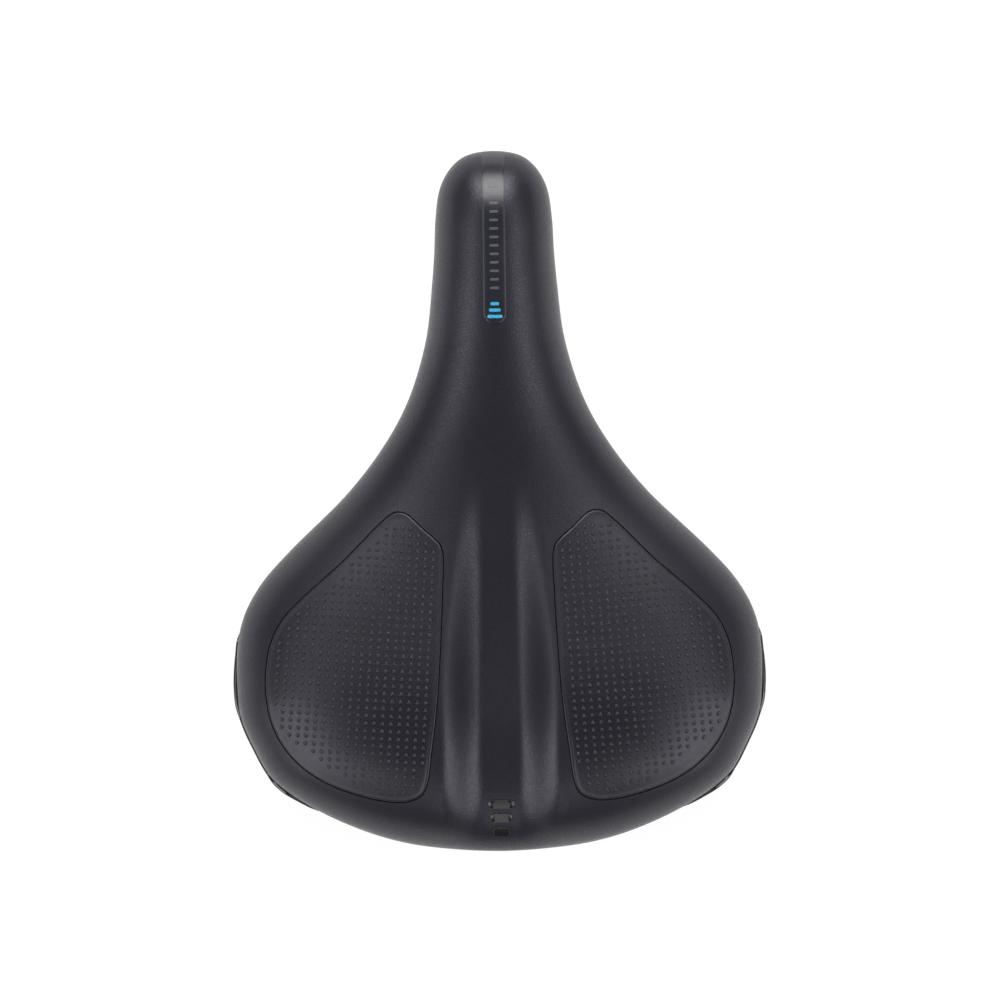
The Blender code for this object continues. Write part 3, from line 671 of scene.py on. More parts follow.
def finish_base(name, colour, roughness, metallic=0.0, specular=0.5):
    """A material with its Principled shader, and the shader itself."""
    made = bpy.data.materials.new(name)
    made.use_nodes = True
    shader = made.node_tree.nodes["Principled BSDF"]
    shader.inputs["Base Color"].default_value = (*colour, 1)
    shader.inputs["Roughness"].default_value = roughness
    shader.inputs["Metallic"].default_value = metallic
    shader.inputs["Specular IOR Level"].default_value = specular
    return made, shader


def use_group(tree, group, **values):
    node = tree.nodes.new("ShaderNodeGroup")
    node.node_tree = group
    for name, value in values.items():
        node.inputs[name].default_value = value
    return node


def ramp_colour(tree, mask, low, high):
    """A colour that goes from low to high as the mask goes from 0 to 1."""
    node = tree.nodes.new("ShaderNodeMix")
    node.data_type = "RGBA"
    ends = [socket for socket in node.inputs if socket.type == "RGBA"]
    for socket, colour in zip(ends, (low, high)):
        socket.default_value = (*colour, 1)
    tree.links.new(mask, node.inputs["Factor"])
    return next(socket for socket in node.outputs if socket.type == "RGBA")


def spread(tree, mask, low, high):
    """A value that goes from low to high as the mask goes from 0 to 1."""
    return maths(tree, "MULTIPLY_ADD", mask, high - low, low)


def bumped(tree, shader, height, strength, distance):
    bump = tree.nodes.new("ShaderNodeBump")
    bump.inputs["Strength"].default_value = strength
    bump.inputs["Distance"].default_value = distance
    tree.links.new(height, bump.inputs["Height"])
    tree.links.new(bump.outputs["Normal"], shader.inputs["Normal"])


def grained_skin(name, colour, roughness, depth, pebbles=1500.0):
    """Coated fabric: cloudy near-black, satin, with a pebbled and slightly sparkling surface. Its
    flecks are glossier and are also painted lighter in colour, a painted glint.
    """
    made, shader = finish_base(name, colour, roughness, specular=0.42)
    shader.inputs["Specular Tint"].default_value = (0.93, 0.9, 1.0, 1)
    tree = made.node_tree
    grain = use_group(tree, skin_grain(), Pebbles=pebbles)
    dark, light = ([part * share for part in colour] for share in (0.55, 2.1))
    tone_and_glint = maths(tree, "ADD", maths(tree, "MULTIPLY", grain.outputs["Cloud"], 0.45),
                  maths(tree, "MULTIPLY", grain.outputs["Fleck"], 0.6), clamp=True)
    # Base colour: the cloud noise gives random tone, and the flecks lighten it further as a painted
    # glint.
    tree.links.new(ramp_colour(tree, tone_and_glint, dark, light), shader.inputs["Base Color"])
    satin = spread(tree, grain.outputs["Fleck"], roughness + 0.04, roughness - 0.1)
    tree.links.new(satin, shader.inputs["Roughness"])
    bumped(tree, shader, grain.outputs["Height"], 0.5, depth)
    return made


def moulded(name, colour, roughness, depth, fineness, coat):
    """Moulded plastic, rubber or powder coat."""
    made, shader = finish_base(name, colour, roughness)
    tree = made.node_tree
    grain = use_group(tree, moulded_grain(), Fineness=fineness)
    marks = grain.outputs["Marks"]
    low, high = ([part * share for part in colour] for share in (0.85, 1.3))
    tree.links.new(ramp_colour(tree, marks, low, high), shader.inputs["Base Color"])
    tree.links.new(spread(tree, marks, roughness - 0.06, roughness + 0.1),
                   shader.inputs["Roughness"])
    shader.inputs["Coat Weight"].default_value = coat
    bumped(tree, shader, grain.outputs["Height"], 0.5, depth)
    return made


def drawn_steel(name, colour, roughness, closeness):
    """Steel with fine lines along the way it was drawn or turned."""
    made, shader = finish_base(name, colour, roughness, 1.0)
    tree = made.node_tree
    place = tree.nodes.new("ShaderNodeTexCoord")
    mapping = tree.nodes.new("ShaderNodeMapping")
    mapping.inputs["Scale"].default_value = closeness
    tree.links.new(place.outputs["Object"], mapping.inputs["Vector"])
    lines = noise(tree, mapping.outputs["Vector"], 1.0, 4.0)
    grain = use_group(tree, moulded_grain(), Fineness=900.0, Marks=70.0)
    tree.links.new(spread(tree, lines, roughness - 0.08, roughness + 0.14),
                   shader.inputs["Roughness"])
    low, high = ([part * share for part in colour] for share in (0.8, 1.08))
    tree.links.new(ramp_colour(tree, grain.outputs["Marks"], low, high),
                   shader.inputs["Base Color"])
    bumped(tree, shader, lines, 0.25, 0.01 * MM)
    return made


# Moulded and coated finishes: colour, roughness, depth of grain and its fineness, coat
MOULDED = {
    "gloss_guard": ((0.010, 0.010, 0.011), 0.16, 0.004 * MM, 1800.0, 0.6),
    "strip_film": ((0.013, 0.013, 0.019), 0.26, 0.003 * MM, 1800.0, 0.0),
    "badge_gloss": ((0.007, 0.007, 0.008), 0.24, 0.003 * MM, 1800.0, 0.0),
    "blue_ink": ((0.032, 0.27, 0.44), 0.35, 0.002 * MM, 1800.0, 0.0),
    "grey_ink": ((0.055, 0.06, 0.07), 0.4, 0.002 * MM, 1800.0, 0.0),
    "base_plastic": ((0.022, 0.022, 0.024), 0.48, 0.03 * MM, 1500.0, 0.0),
    "spring_rubber": ((0.016, 0.016, 0.017), 0.72, 0.03 * MM, 1100.0, 0.0),
    "bush_rubber": ((0.02, 0.02, 0.02), 0.8, 0.03 * MM, 1100.0, 0.0),
    "powder_coat": ((0.017, 0.017, 0.018), 0.42, 0.05 * MM, 700.0, 0.0),
    "foam": ((0.62, 0.55, 0.38), 0.9, 0.2 * MM, 500.0, 0.0),
    "gel": ((0.12, 0.28, 0.42), 0.3, 0.05 * MM, 400.0, 0.0),
}

# Steel finishes: colour, roughness, and how closely the drawn lines lie along x, y and z
STEEL = {
    "rail_steel": ((0.60, 0.60, 0.61), 0.3, (2500.0, 60.0, 2500.0)),
    "zinc_plate": ((0.62, 0.63, 0.66), 0.32, (900.0, 900.0, 3000.0)),
}
PANEL_PEBBLES = 1900.0
DOT_GRAIN = 0.01 * MM
DOT_POLISH = 0.1


@functools.cache
def finish(name):
    """Each finish is made once, when a piece first asks for it."""
    if name in MOULDED:
        return moulded(name, *MOULDED[name])
    if name in STEEL:
        return drawn_steel(name, *STEEL[name])
    settings = bpy.context.scene.saddle
    return grained_skin(name, *{
        "cover_skin": (settings.skin_colour, settings.skin_roughness, settings.grain_depth),
        "panel_skin": (settings.panel_colour, settings.panel_roughness, settings.grain_depth,
                       PANEL_PEBBLES),
        # The dots' colour is lighter than the panel's, a painted highlight on their raised tops.
        "dot_skin": (settings.dot_painted_highlight_colour, settings.panel_roughness - DOT_POLISH, DOT_GRAIN,
                     PANEL_PEBBLES),
    }[name])


def done(piece, material, body, slot, *nodes):
    """Gives a finished piece its material, its body and the frame nodes that it stands for."""
    piece.data.materials.clear()
    piece.data.materials.append(finish(material))
    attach(piece, body)
    if nodes:
        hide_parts(*nodes)


# ---------------------------------------------------------------- pieces of the seat

def grown(points, outwards, sign=1):
    """A closed plan moved outwards along its own normals."""
    tangent = np.roll(points, -1, axis=0) - np.roll(points, 1, axis=0)
    tangent /= np.linalg.norm(tangent, axis=1, keepdims=True)
    return points + np.stack([-tangent[:, 1], tangent[:, 0]], axis=1) * outwards * sign


def panel_outline(sign, outwards, steps=8):
    """The closed plan of a grip panel, grown by `outwards`."""
    corners = [(x * WIDTH / 2, NOSE_Y - y * LENGTH) for x, y in PANEL]
    return grown(closed_curve(corners, steps), outwards) * (sign, 1)


def make_cover(settings):
    """The skin from its ridge down the skirt and under the base's edge, with both windows cut."""
    around, rings = 150, 96
    wrap = edge_depth(outline_at(np.linspace(0, 1, around + 1))[1]) + BASE_WALL - GAP
    skin = between("cover", sheet(0, around, rings, wrap=wrap),
                   sheet(SKIN, around, rings, bottom=SKIN, wrap=wrap))
    for side, sign in SIDES:
        window = prism(f"{side}_window", panel_outline(sign, settings.groove_width / 2),
                       MIDDLE_RIM, TAIL_TOP + 10 * MM)
        combine(skin, "DIFFERENCE", window)
    done(skin, "cover_skin", SEAT, "skin", "cover")


# Grip panel's edge: distance in from its outline and height off the cover, in millimetres
PANEL_EDGE = (
    (-1.2, -1.4), (-0.9, -1.3), (-0.1, -1.25), (0.0, -0.85), (0.06, -0.4), (0.18, -0.12),
    (0.4, 0.06), (0.7, 0.17), (1.0, 0.18), (1.35, 0.1), (1.8, 0.02), (2.4, 0.0), (3.0, 0.0),
)
PANEL_THICKNESS = 1.45 * MM


def make_panel(side, sign):
    """A grip panel, from its hidden flange over the rolled lip to the plain field."""
    middle = panel_outline(sign, 0).mean(axis=0)
    rim_plans = [panel_outline(sign, -inset * MM) for inset, _ in PANEL_EDGE]
    field = rim_plans[-1]
    inner_plans = [middle + (field - middle) * share for share in np.linspace(1, 0, 34)[1:-1]]
    lifts = [lift * MM for _, lift in PANEL_EDGE] + [0.0] * len(inner_plans)
    plans = [field, rim_plans[0], *rim_plans, *inner_plans]
    lifts = [-PANEL_THICKNESS, -PANEL_THICKNESS, *lifts]
    loops = [on_cover(plan[:, 0], plan[:, 1], np.full(len(plan), lift))[0]
             for plan, lift in zip(plans, lifts)]
    piece = lofted(f"{side}_grip_panel", loops, angle=60)
    done(piece, "panel_skin", SEAT, "grip_skin", f"{side}_grip_panel")


# Half the section of a dot: share of its radius, and share of its height
DOT_PROFILE = ((0, -0.3), (1, -0.3), (0.98, 0.12), (0.8, 0.55), (0.45, 0.88), (0, 1.0))
DOT_SIDES = 10


def dot_item(settings):
    """A low round dome that reaches a little below its seat."""
    profile = [(r * settings.dot_radius, z * settings.dot_height) for r, z in DOT_PROFILE]
    return turned("dot", profile, DOT_SIDES)


ROW_SHARE = 0.93  # distance between rows, as a share of the pitch
ROW_SLOPE = 0.055  # how far a row leads forwards, per unit outwards


def make_dots(side, sign, settings):
    """Rows of dots over the field of a panel, in columns that follow its inner edge."""
    step, first_x, first_y = settings.dot_pitch, 24.1 * MM, NOSE_Y - 0.53 * LENGTH
    rows, columns = np.meshgrid(np.arange(-4, 44), np.arange(-3, 28))
    y = first_y - rows * step * ROW_SHARE
    lean = 0.065 + 0.0016 * columns
    x = first_x + columns * step - lean * (y + 0.01)
    y = y + ROW_SLOPE * (x - first_x)
    places = np.stack([x.ravel(), y.ravel()], axis=1)
    plain_corner = places @ (0.6, -0.8) > 0.568 * WIDTH
    field = panel_outline(1, -settings.dot_margin, 3)
    places = places[inside(places, field) & ~plain_corner] * (sign, 1)
    seats, up = on_cover(places[:, 0], places[:, 1], np.zeros(len(places)))
    piece = seated(f"{side}_grip_dots", dot_item(settings), seats, up, (0, 1, 0),
                   finish("dot_skin"))
    done(piece, "dot_skin", SEAT, "grip_skin")


STRIP_LENGTH = 0.066
FILM, FILM_EDGE, FILM_SINK = 0.22 * MM, 0.1 * MM, 0.3 * MM


def make_strip(settings):
    """The glossy film down the middle of the nose, with a round rear end."""
    half, rear, across = settings.strip_width / 2, NOSE_Y - STRIP_LENGTH, 15
    line = np.concatenate([rear + half * (1 - np.cos(np.linspace(0.08, math.pi / 2, 10))),
                           np.linspace(rear + half + 1 * MM, NOSE_Y - 1.2 * MM, 60)])
    loops = []
    for y in line:
        behind = max(rear + half - y, 0)
        wide = math.sqrt(max(half * half - behind * behind, 0))
        x = np.linspace(-wide, wide, across)
        lift = np.full(across, FILM)
        lift[[0, -1]] = FILM_EDGE
        top = on_cover(x, np.full(across, y), lift)[0]
        low = on_cover(x[::-1], np.full(across, y), np.full(across, -FILM_SINK))[0]
        loops.append(np.concatenate([top, low]))
    done(lofted("nose_strip", loops, angle=60), "strip_film", SEAT, "guard_plastic")


def patch(name, outline, lift, sink=0.2 * MM):
    """A thin raised patch over a plan outline."""
    outline = np.asarray(outline, float)
    middle = outline.mean(axis=0)
    loops = []
    for share, height in ((1, -sink), (1, lift * 0.6), (0.94, lift), (0.6, lift), (0.25, lift)):
        plan = middle + (outline - middle) * share
        loops.append(on_cover(plan[:, 0], plan[:, 1], np.full(len(plan), height))[0])
    return lofted(name, loops, angle=40)


def pill(x, y, half_length, half_width):
    """A closed plan with round ends, longest across the saddle."""
    found = []
    for side in (1, -1):
        for angle in np.linspace(-math.pi / 2, math.pi / 2, 8):
            found.append((side * (half_length - half_width + half_width * math.cos(angle)),
                          side * half_width * math.sin(angle)))
    return np.array(found) + (x, y)


def make_strip_marks():
    """A row of plain ticks and three blue bars on the film, which carry no lettering."""
    first_tick, tick_pitch = NOSE_Y - 14 * MM, 3.2 * MM
    ticks = [patch(f"tick_{k}", pill(0, first_tick - k * tick_pitch, 1.75 * MM, 0.5 * MM), 0.3 * MM)
             for k in range(13)]
    done(joined("strip_ticks", ticks), "grey_ink", SEAT, "guard_plastic")
    middle, bar_pitch = NOSE_Y - 60.8 * MM, 2.4 * MM
    bars = [patch(f"bar_{k}", pill(0, middle + (k - 1) * bar_pitch, half * MM, 0.65 * MM), 0.3 * MM)
            for k, half in enumerate((2.9, 2.3, 1.7))]
    done(joined("strip_mark", bars), "blue_ink", SEAT, "guard_plastic")


def make_badge():
    """Three stacked bars on the rear of the channel."""
    first, pitch = TAIL_Y + 18.2 * MM, 5.2 * MM
    bars = [patch(f"bar_{k}", pill(0, first - k * pitch, half * MM, 1.7 * MM), 0.45 * MM, 0.3 * MM)
            for k, half in enumerate((4.9, 4.1, 3.2))]
    done(joined("tail_badge", bars), "badge_gloss", SEAT, "guard_plastic")


GUARD_FRONT, GUARD_REAR = 0.083, 0.016  # its ends, ahead of the tail
GUARD_SWELLS = (0.24, 0.82)  # where it bulges, as shares of its length
GUARD_GAP = 0.2  # millimetres off the skirt


def make_guard(side, sign):
    """The glossy strip round the rear corner of the skirt, swelling out at two places."""
    u = np.linspace(u_at(TAIL_Y + GUARD_FRONT), u_at(TAIL_Y + GUARD_REAR), 120)
    points, out = skirt_top(u)
    share = np.linspace(0, 1, len(u))
    swell = sum(1 - smooth(0.02, 0.17, np.abs(share - middle)) for middle in GUARD_SWELLS)
    ends = smooth(0, 0.04, share) * smooth(0, 0.04, 1 - share)
    loops = []
    for k, (point, normal) in enumerate(zip(points, out)):
        # places in the section are (out from the skirt, down it), in millimetres
        raised = 2.2 * (1 - swell[k]) + 1.6 * (1 - ends[k])
        wall = 0.15 + (0.45 + 0.6 * swell[k]) * ends[k]
        section = (
            (0.0, 0.3 + raised), (wall * 0.55, 0.35 + raised), (wall * 0.9, 0.75 + raised),
            (wall, 1.5 + raised), (wall - 0.05, 4.0 + raised * 0.3), (wall - 0.6, 6.0),
            (wall - 1.1, 7.5), (wall - 1.5, 8.0 - (1 - ends[k])), (-1.55, 8.1 - (1 - ends[k])),
            (-1.3, 7.0), (-0.5, 4.5), (-0.1, 2.5 + raised * 0.4),
        )
        loops.append([point + normal * (away + GUARD_GAP) * MM - np.array((0, 0, drop * MM))
                      for away, drop in section])
    piece = lofted(f"{side}_scuff_guard", np.array(loops) * (sign, 1, 1), angle=50)
    done(piece, "gloss_guard", SEAT, "guard_plastic", f"{side}_scuff_guard")


STAPLES_A_SIDE = 30


def make_staples():
    """Flat wire staples that hold the skin under the base's edge."""
    reach = np.concatenate([[0], np.cumsum(np.hypot(*np.diff(OUTLINE, axis=0).T))])
    u = np.interp(np.linspace(0.02, 0.98, STAPLES_A_SIDE) * reach[-1], reach, PACE)
    points, out = skirt_top(u)
    inset = TUMBLEHOME + edge_depth(outline_at(u)[1]) + BASE_WALL * 0.35
    right = points - out * inset[:, None] - (0, 0, SKIRT - 0.02 * MM)
    ahead = np.cross(out, (0, 0, 1.0))
    seats = np.concatenate([right, right * (-1, 1, 1)])
    forward = np.concatenate([ahead, ahead * (-1, 1, 1)])
    wire = curve_through(((-5.2, 0, 0), (-5, 0, 0), (-4.9, 0, 0.35), (-4.5, 0, 0.5), (0, 0, 0.5),
                          (4.5, 0, 0.5), (4.9, 0, 0.35), (5, 0, 0), (5.2, 0, 0)), 3) * MM
    staple = tube("staple", wire, 0.35 * MM, 8)
    piece = seated("cover_staples", staple, seats, (0, 0, -1), forward, finish("zinc_plate"))
    done(piece, "zinc_plate", SEAT, "bright_steel")


# ---------------------------------------------------------------- base, frame and fasteners

BOSS_RADIUS, BOSS_DRAFT = 16.5 * MM, 2 * MM


def make_base():
    """The moulded base: wall, spring bosses and nose pocket."""
    around, rings, low = 84, 44, SKIN + GAP
    shell = between("base_shell", sheet(0, around, rings, True, low),
                    sheet(BASE_WALL, around, rings, True, low))
    core = between("core", sheet(BASE_WALL / 2, around, rings, True, low))
    boss_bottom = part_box("right_insert")[0][2]
    pads = []
    for side, sign in SIDES:
        profile = rounded(((0, boss_bottom), (BOSS_RADIUS, boss_bottom),
                           (BOSS_RADIUS + BOSS_DRAFT, TAIL_TOP), (0, TAIL_TOP)), 1.2 * MM)
        pads.append(turned(f"{side}_boss", profile, 48, (sign * SPRING_X, SPRING_Y)))
    pads.append(box("pocket", (-NOSE_WIDTH / 2, BUSH_LOW[1] + 2 * MM, BUSH_LOW[2]),
                    (NOSE_WIDTH / 2, CLAMP_HIGH[1], NOSE_TOP)))
    for pad in pads:
        combine(pad, "INTERSECT", link_object("twin", core.data.copy()))
    combine(shell, "UNION", *pads)
    room = box("room", (BUSH_LOW[0] - GAP, BUSH_LOW[1] - 4 * MM, 0),
               (BUSH_HIGH[0] + GAP, BUSH_HIGH[1] + GAP, BUSH_HIGH[2] + GAP))
    cuts = [room]
    for side, sign in SIDES:
        low_insert, high_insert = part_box(f"{side}_insert")
        radius = (high_insert[0] - low_insert[0]) / 2 + GAP
        profile = ((0, 0), (radius, 0), (radius, high_insert[2] + GAP), (0, high_insert[2] + GAP))
        cuts.append(turned(f"{side}_hole", profile, 32, (sign * SPRING_X, SPRING_Y)))
    combine(shell, "DIFFERENCE", *cuts)
    bpy.data.objects.remove(core)
    done(shell, "base_plastic", SEAT, "moulded_base", "base_shell")


def base_under(x, y):
    """Height of the base's underside over (x, y), found from the ungrooved cover."""
    reach, edge_y, out, lift = lift_at(x, y, 0.999)
    top = rim(edge_y) + (crown(y) - rim(edge_y)) * lift
    slope = squareness(edge_y) * out ** (squareness(edge_y) - 1) * (top - rim(edge_y)) / reach
    steep = np.sqrt(1 + (slope / np.maximum(lift, 0.2) ** 2) ** 2).clip(1, 2.2)
    return top - (base_depth(edge_y, lift, y) + BASE_WALL) * steep


# Each long rib's x, and the y of its ends; each cross rib's y, and how far it reaches either side
LONG_RIBS = ((-0.016, 0.072, -0.098), (0.016, 0.072, -0.098), (0, 0.06, -0.1))
CROSS_RIBS = ((0.045, 0.013), (0.02, 0.017), (-0.005, 0.034), (-0.03, 0.056), (-0.055, 0.066))
LONG_RIB_DEPTH, CROSS_RIB_DEPTH = 5.2, 4.2  # millimetres


def make_ribs():
    """Stiffening ribs under the base's wall, drafted towards their lower edges."""
    lines = [((x, front), (x, rear), LONG_RIB_DEPTH) for x, front, rear in LONG_RIBS]
    lines += [((-far, y), (far, y), CROSS_RIB_DEPTH) for y, far in CROSS_RIBS]
    ribs = [make_rib(f"rib_{k}", *line) for k, line in enumerate(lines)]
    done(joined("base_ribs", ribs), "base_plastic", SEAT, "moulded_base")


def make_rib(name, start, end, deepest, count=40):
    """One rib between two places in plan, running out to nothing at its ends."""
    x, y = (np.linspace(a, b, count) for a, b in zip(start, end))
    top = base_under(x, y)
    depth = deepest * np.sin(np.linspace(0.12, math.pi - 0.12, count)) ** 0.35
    across = np.array((end[1] - start[1], start[0] - end[0]))
    across = across / np.linalg.norm(across)
    loops = []
    for place, deep in enumerate(depth):
        half = ((1.1, -1.6), (0.8, deep - 0.3), (0.5, deep))
        section = [(away, drop) for away, drop in half]
        section += [(-away, drop) for away, drop in reversed(half)]
        middle = np.array((x[place], y[place]))
        loops.append([(*(middle + across * away * MM), top[place] - drop * MM)
                      for away, drop in section])
    return lofted(name, loops, angle=50)


def rail_line(steps=10):
    """Centre line of the one-piece rail, from its left rear end round the nose to the right."""
    back = SPRING_Y - BRIDGE_WIDTH * 0.36
    legs = [
        (RAIL_TAIL_X, back, RAIL_TAIL_Z), (RAIL_TAIL_X, SPRING_Y + BRIDGE_WIDTH * 0.4, RAIL_TAIL_Z),
        (RAIL_TAIL_X - 1 * MM, CLAMP_REAR_Y - 19 * MM, RAIL_TAIL_Z - 1.6 * MM),
        (RAIL_HALF_GAUGE + 0.4 * MM, CLAMP_REAR_Y - 5 * MM, 0.3 * MM),
        (RAIL_HALF_GAUGE, CLAMP_REAR_Y, 0), (RAIL_HALF_GAUGE, CLAMP_FRONT_Y, 0),
        (RAIL_HALF_GAUGE - 0.6 * MM, CLAMP_FRONT_Y + 6 * MM, 0.7 * MM),
        (RAIL_HALF_GAUGE * 0.42 + RAIL_TIP_RADIUS * 0.58, RAIL_TIP_Y - 38 * MM, RAIL_TIP_Z * 0.4),
        (RAIL_TIP_RADIUS + 0.6 * MM, RAIL_TIP_Y - RAIL_TIP_RADIUS - 14 * MM, RAIL_TIP_Z - 3 * MM),
    ]
    bend = [(RAIL_TIP_RADIUS * math.cos(angle),
             RAIL_TIP_Y - RAIL_TIP_RADIUS * (1 - math.sin(angle)), RAIL_TIP_Z)
            for angle in np.linspace(0, math.pi / 2, 5)]
    right = legs + bend[:-1]
    left = [(-x, y, z) for x, y, z in right]
    before, after = ((x, back - 1 * MM, RAIL_TAIL_Z) for x in (-RAIL_TAIL_X, RAIL_TAIL_X))
    return curve_through([before, *left, bend[-1], *reversed(right), after], steps)


def make_rails():
    rails = tube("rails", rail_line(), RAIL_RADIUS)
    done(rails, "rail_steel", RAILS, "bright_steel", "rails")


# The bridge's section: insets from its outside, and heights from its bottom, top and floor, in
# millimetres
BRIDGE_FOOT = ((3.0, 0), (1.3, 0.35), (0.35, 1.3), (0, 3))
BRIDGE_LIP = ((0, -0.8), (0.35, -0.2), (1.1, 0), (1.8, -0.2), (2.4, -0.8))
BRIDGE_BED = ((2.4, 1.2), (2.9, 0.4), (4.0, 0))
BRIDGE_PLATE, BRIDGE_CORNER = 2.5 * MM, 7 * MM


def bridge_loop(inset, z):
    """The bridge's plan with round corners, moved in from its outside."""
    half = (BRIDGE_HIGH[0], (BRIDGE_HIGH[1] - BRIDGE_LOW[1]) / 2)
    radius = max(BRIDGE_CORNER - inset, 1 * MM)
    found = []
    for start, (sx, sy) in zip((0, 90, 180, 270), ((1, 1), (-1, 1), (-1, -1), (1, -1))):
        x = sx * (half[0] - inset - radius)
        y = SPRING_Y + sy * (half[1] - inset - radius)
        for angle in np.radians(np.linspace(start, start + 90, 12)):
            found.append((x + radius * math.cos(angle), y + radius * math.sin(angle), z))
    return found


def make_bridge():
    """The pressed steel channel that carries both springs."""
    bottom, top = BRIDGE_LOW[2], BRIDGE_HIGH[2]
    parts = ((BRIDGE_FOOT, bottom), (BRIDGE_LIP, top), (BRIDGE_BED, bottom + BRIDGE_PLATE))
    loops = [bridge_loop(inset * MM, z + up * MM) for part, z in parts for inset, up in part]
    bridge = lofted("rear_bridge", loops, angle=35)
    bore = ((0, 0), (CUP_BORE, 0), (CUP_BORE, 30 * MM), (0, 30 * MM))
    for side, sign in SIDES:
        hole = turned(f"{side}_hole", bore, 40, (sign * SPRING_X, SPRING_Y))
        combine(bridge, "DIFFERENCE", hole)
    bead = prism("bead", pill(0, SPRING_Y, 16 * MM, 5 * MM), 0, bottom + 0.8 * MM)
    combine(bridge, "DIFFERENCE", bead)
    done(bridge, "powder_coat", RAILS, "black_steel", "rear_bridge")


GROOVE_DEPTH = 2.8 * MM


def make_springs():
    """Each rubber spring, bellied between two grooves."""
    low, high = SPRING_LOW[2], SPRING_HIGH[2]
    height = high - low
    for side, sign in SIDES:
        profile = [(SPRING_BORE, low), (SPRING_RADIUS - 1.2 * MM, low)]
        for share in np.linspace(0.02, 0.98, 49):
            groove = sum(GROOVE_DEPTH * math.exp(-(((share - middle) / 0.045) ** 2))
                         for middle in (0.333, 0.667))
            ease = 1 * MM * (1 - smooth(0, 0.06, share) * smooth(0, 0.06, 1 - share))
            profile.append((SPRING_RADIUS - (groove + ease), low + share * height))
        profile += [(SPRING_RADIUS - 1.2 * MM, high), (SPRING_BORE, high)]
        spring = turned(f"{side}_elastomer", profile, 64, (sign * SPRING_X, SPRING_Y))
        done(spring, "spring_rubber", RAILS, "rubber", f"{side}_elastomer")
        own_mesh(spring)


def fastened(kind, item, x, y, body=SEAT):
    """A left and a right copy of a fastener, each standing where the frame has it."""
    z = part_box(f"right_{kind}")[0][2]
    seats = [(sign * x, y, z) for _, sign in SIDES]
    piece = seated(f"{kind}s", item, seats, (0, 0, 1), (1, 0, 0), finish("zinc_plate"))
    done(piece, "zinc_plate", body, "bright_steel", *(f"{side}_{kind}" for side, _ in SIDES))


def make_fasteners():
    """Cups, washers, bolts, inserts and nose screws, each kind as one mesh on its seats."""
    for kind, body, bore in (("lower_cup", RAILS, CUP_BORE), ("upper_cup", SEAT, BOLT_BORE),
                             ("bolt_washer", SEAT, BOLT_BORE), ("insert", SEAT, BOLT_BORE)):
        low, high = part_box(f"right_{kind}")
        outer, thick = (high[0] - low[0]) / 2, high[2] - low[2]
        corners = [(bore, 0), (outer, 0), (outer, thick), (bore, thick)]
        fastened(kind, turned(kind, rounded(corners, 0.4 * MM)), SPRING_X, SPRING_Y, body)
    low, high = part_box("right_guide_bolt")
    bolt = socket_bolt("guide_bolt", high[2] - low[2], head_radius=5 * MM, head=5 * MM,
                       radius=3 * MM, socket=2.4 * MM)
    fastened("guide_bolt", bolt, SPRING_X, SPRING_Y)
    low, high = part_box("right_nose_screw")
    screw = socket_bolt("nose_screw", high[2] - low[2], head_radius=2.9 * MM, head=1.9 * MM,
                        radius=1.6 * MM, socket=1.25 * MM)
    fastened("nose_screw", screw, (low[0] + high[0]) / 2, (low[1] + high[1]) / 2)


THREAD_PITCH, THREAD_DEPTH = 1.0 * MM, 0.3 * MM


def socket_bolt(name, length, head_radius, head, radius, socket):
    """A bolt that stands on its head, with threads turned as fine grooves and a hexagon socket."""
    neck = [(radius, head)]
    eased = rounded([(0, 0), (head_radius, 0), (head_radius, head), *neck], 0.5 * MM)
    start = head + 2 * MM
    threads = []
    for turn in range(int((length - start - 1 * MM) / THREAD_PITCH)):
        z = start + turn * THREAD_PITCH
        threads += [(radius, z), (radius - THREAD_DEPTH, z + THREAD_PITCH / 2)]
    tip = [(radius, length - 0.9 * MM), (radius - 0.8 * MM, length), (0, length)]
    bolt = turned(name, eased[:-ARC_STEPS] + neck + threads + tip)
    hexagon = [(socket * math.cos(angle), socket * math.sin(angle))
               for angle in np.linspace(0, 2 * math.pi, 6, endpoint=False)]
    return combine(bolt, "DIFFERENCE", prism("socket", hexagon, -1 * MM, head * 0.6))


def make_nose_block():
    """The rubber bush round the rail's bend, and the plate that shuts it in from below."""
    eased = ((0.9 * MM, 0), (0.25 * MM, 0.25 * MM), (0, 0.9 * MM))
    levels = [(inset, BUSH_LOW[2] + up) for inset, up in eased]
    levels += [(inset, BUSH_HIGH[2] - down) for inset, down in reversed(eased)]
    loops = []
    for inset, z in levels:
        (x0, y0), (x1, y1) = np.add(BUSH_LOW[:2], inset), np.subtract(BUSH_HIGH[:2], inset)
        plan = rounded([(x0, y0), (x1, y0), (x1, y1), (x0, y1)], 1.2 * MM, axis=False)
        loops.append([(*point, z) for point in plan])
    bush = lofted("nose_bush", loops)
    tunnel = tube("tunnel", rail_line(6), RAIL_RADIUS + BUSH_PLAY, 24)
    combine(bush, "DIFFERENCE", tunnel)
    done(bush, "bush_rubber", SEAT, "rubber", "nose_bush")
    side, tip, front = CLAMP_HIGH[0], 9 * MM, CLAMP_HIGH[1]
    corners = [(-side, CLAMP_LOW[1]), (side, CLAMP_LOW[1]), (side, BUSH_HIGH[1]),
               (tip, front), (-tip, front), (-side, BUSH_HIGH[1])]
    plan = np.array(rounded(corners, 1.5 * MM, axis=False))
    middle = plan.mean(axis=0)
    ease = 0.4 * MM
    loops = []
    for share, z in ((0.97, CLAMP_LOW[2]), (1, CLAMP_LOW[2] + ease), (1, CLAMP_HIGH[2] - ease),
                     (0.97, CLAMP_HIGH[2])):
        loops.append([(*point, z) for point in middle + (plan - middle) * share])
    done(lofted("nose_clamp", loops), "powder_coat", SEAT, "black_steel", "nose_clamp")


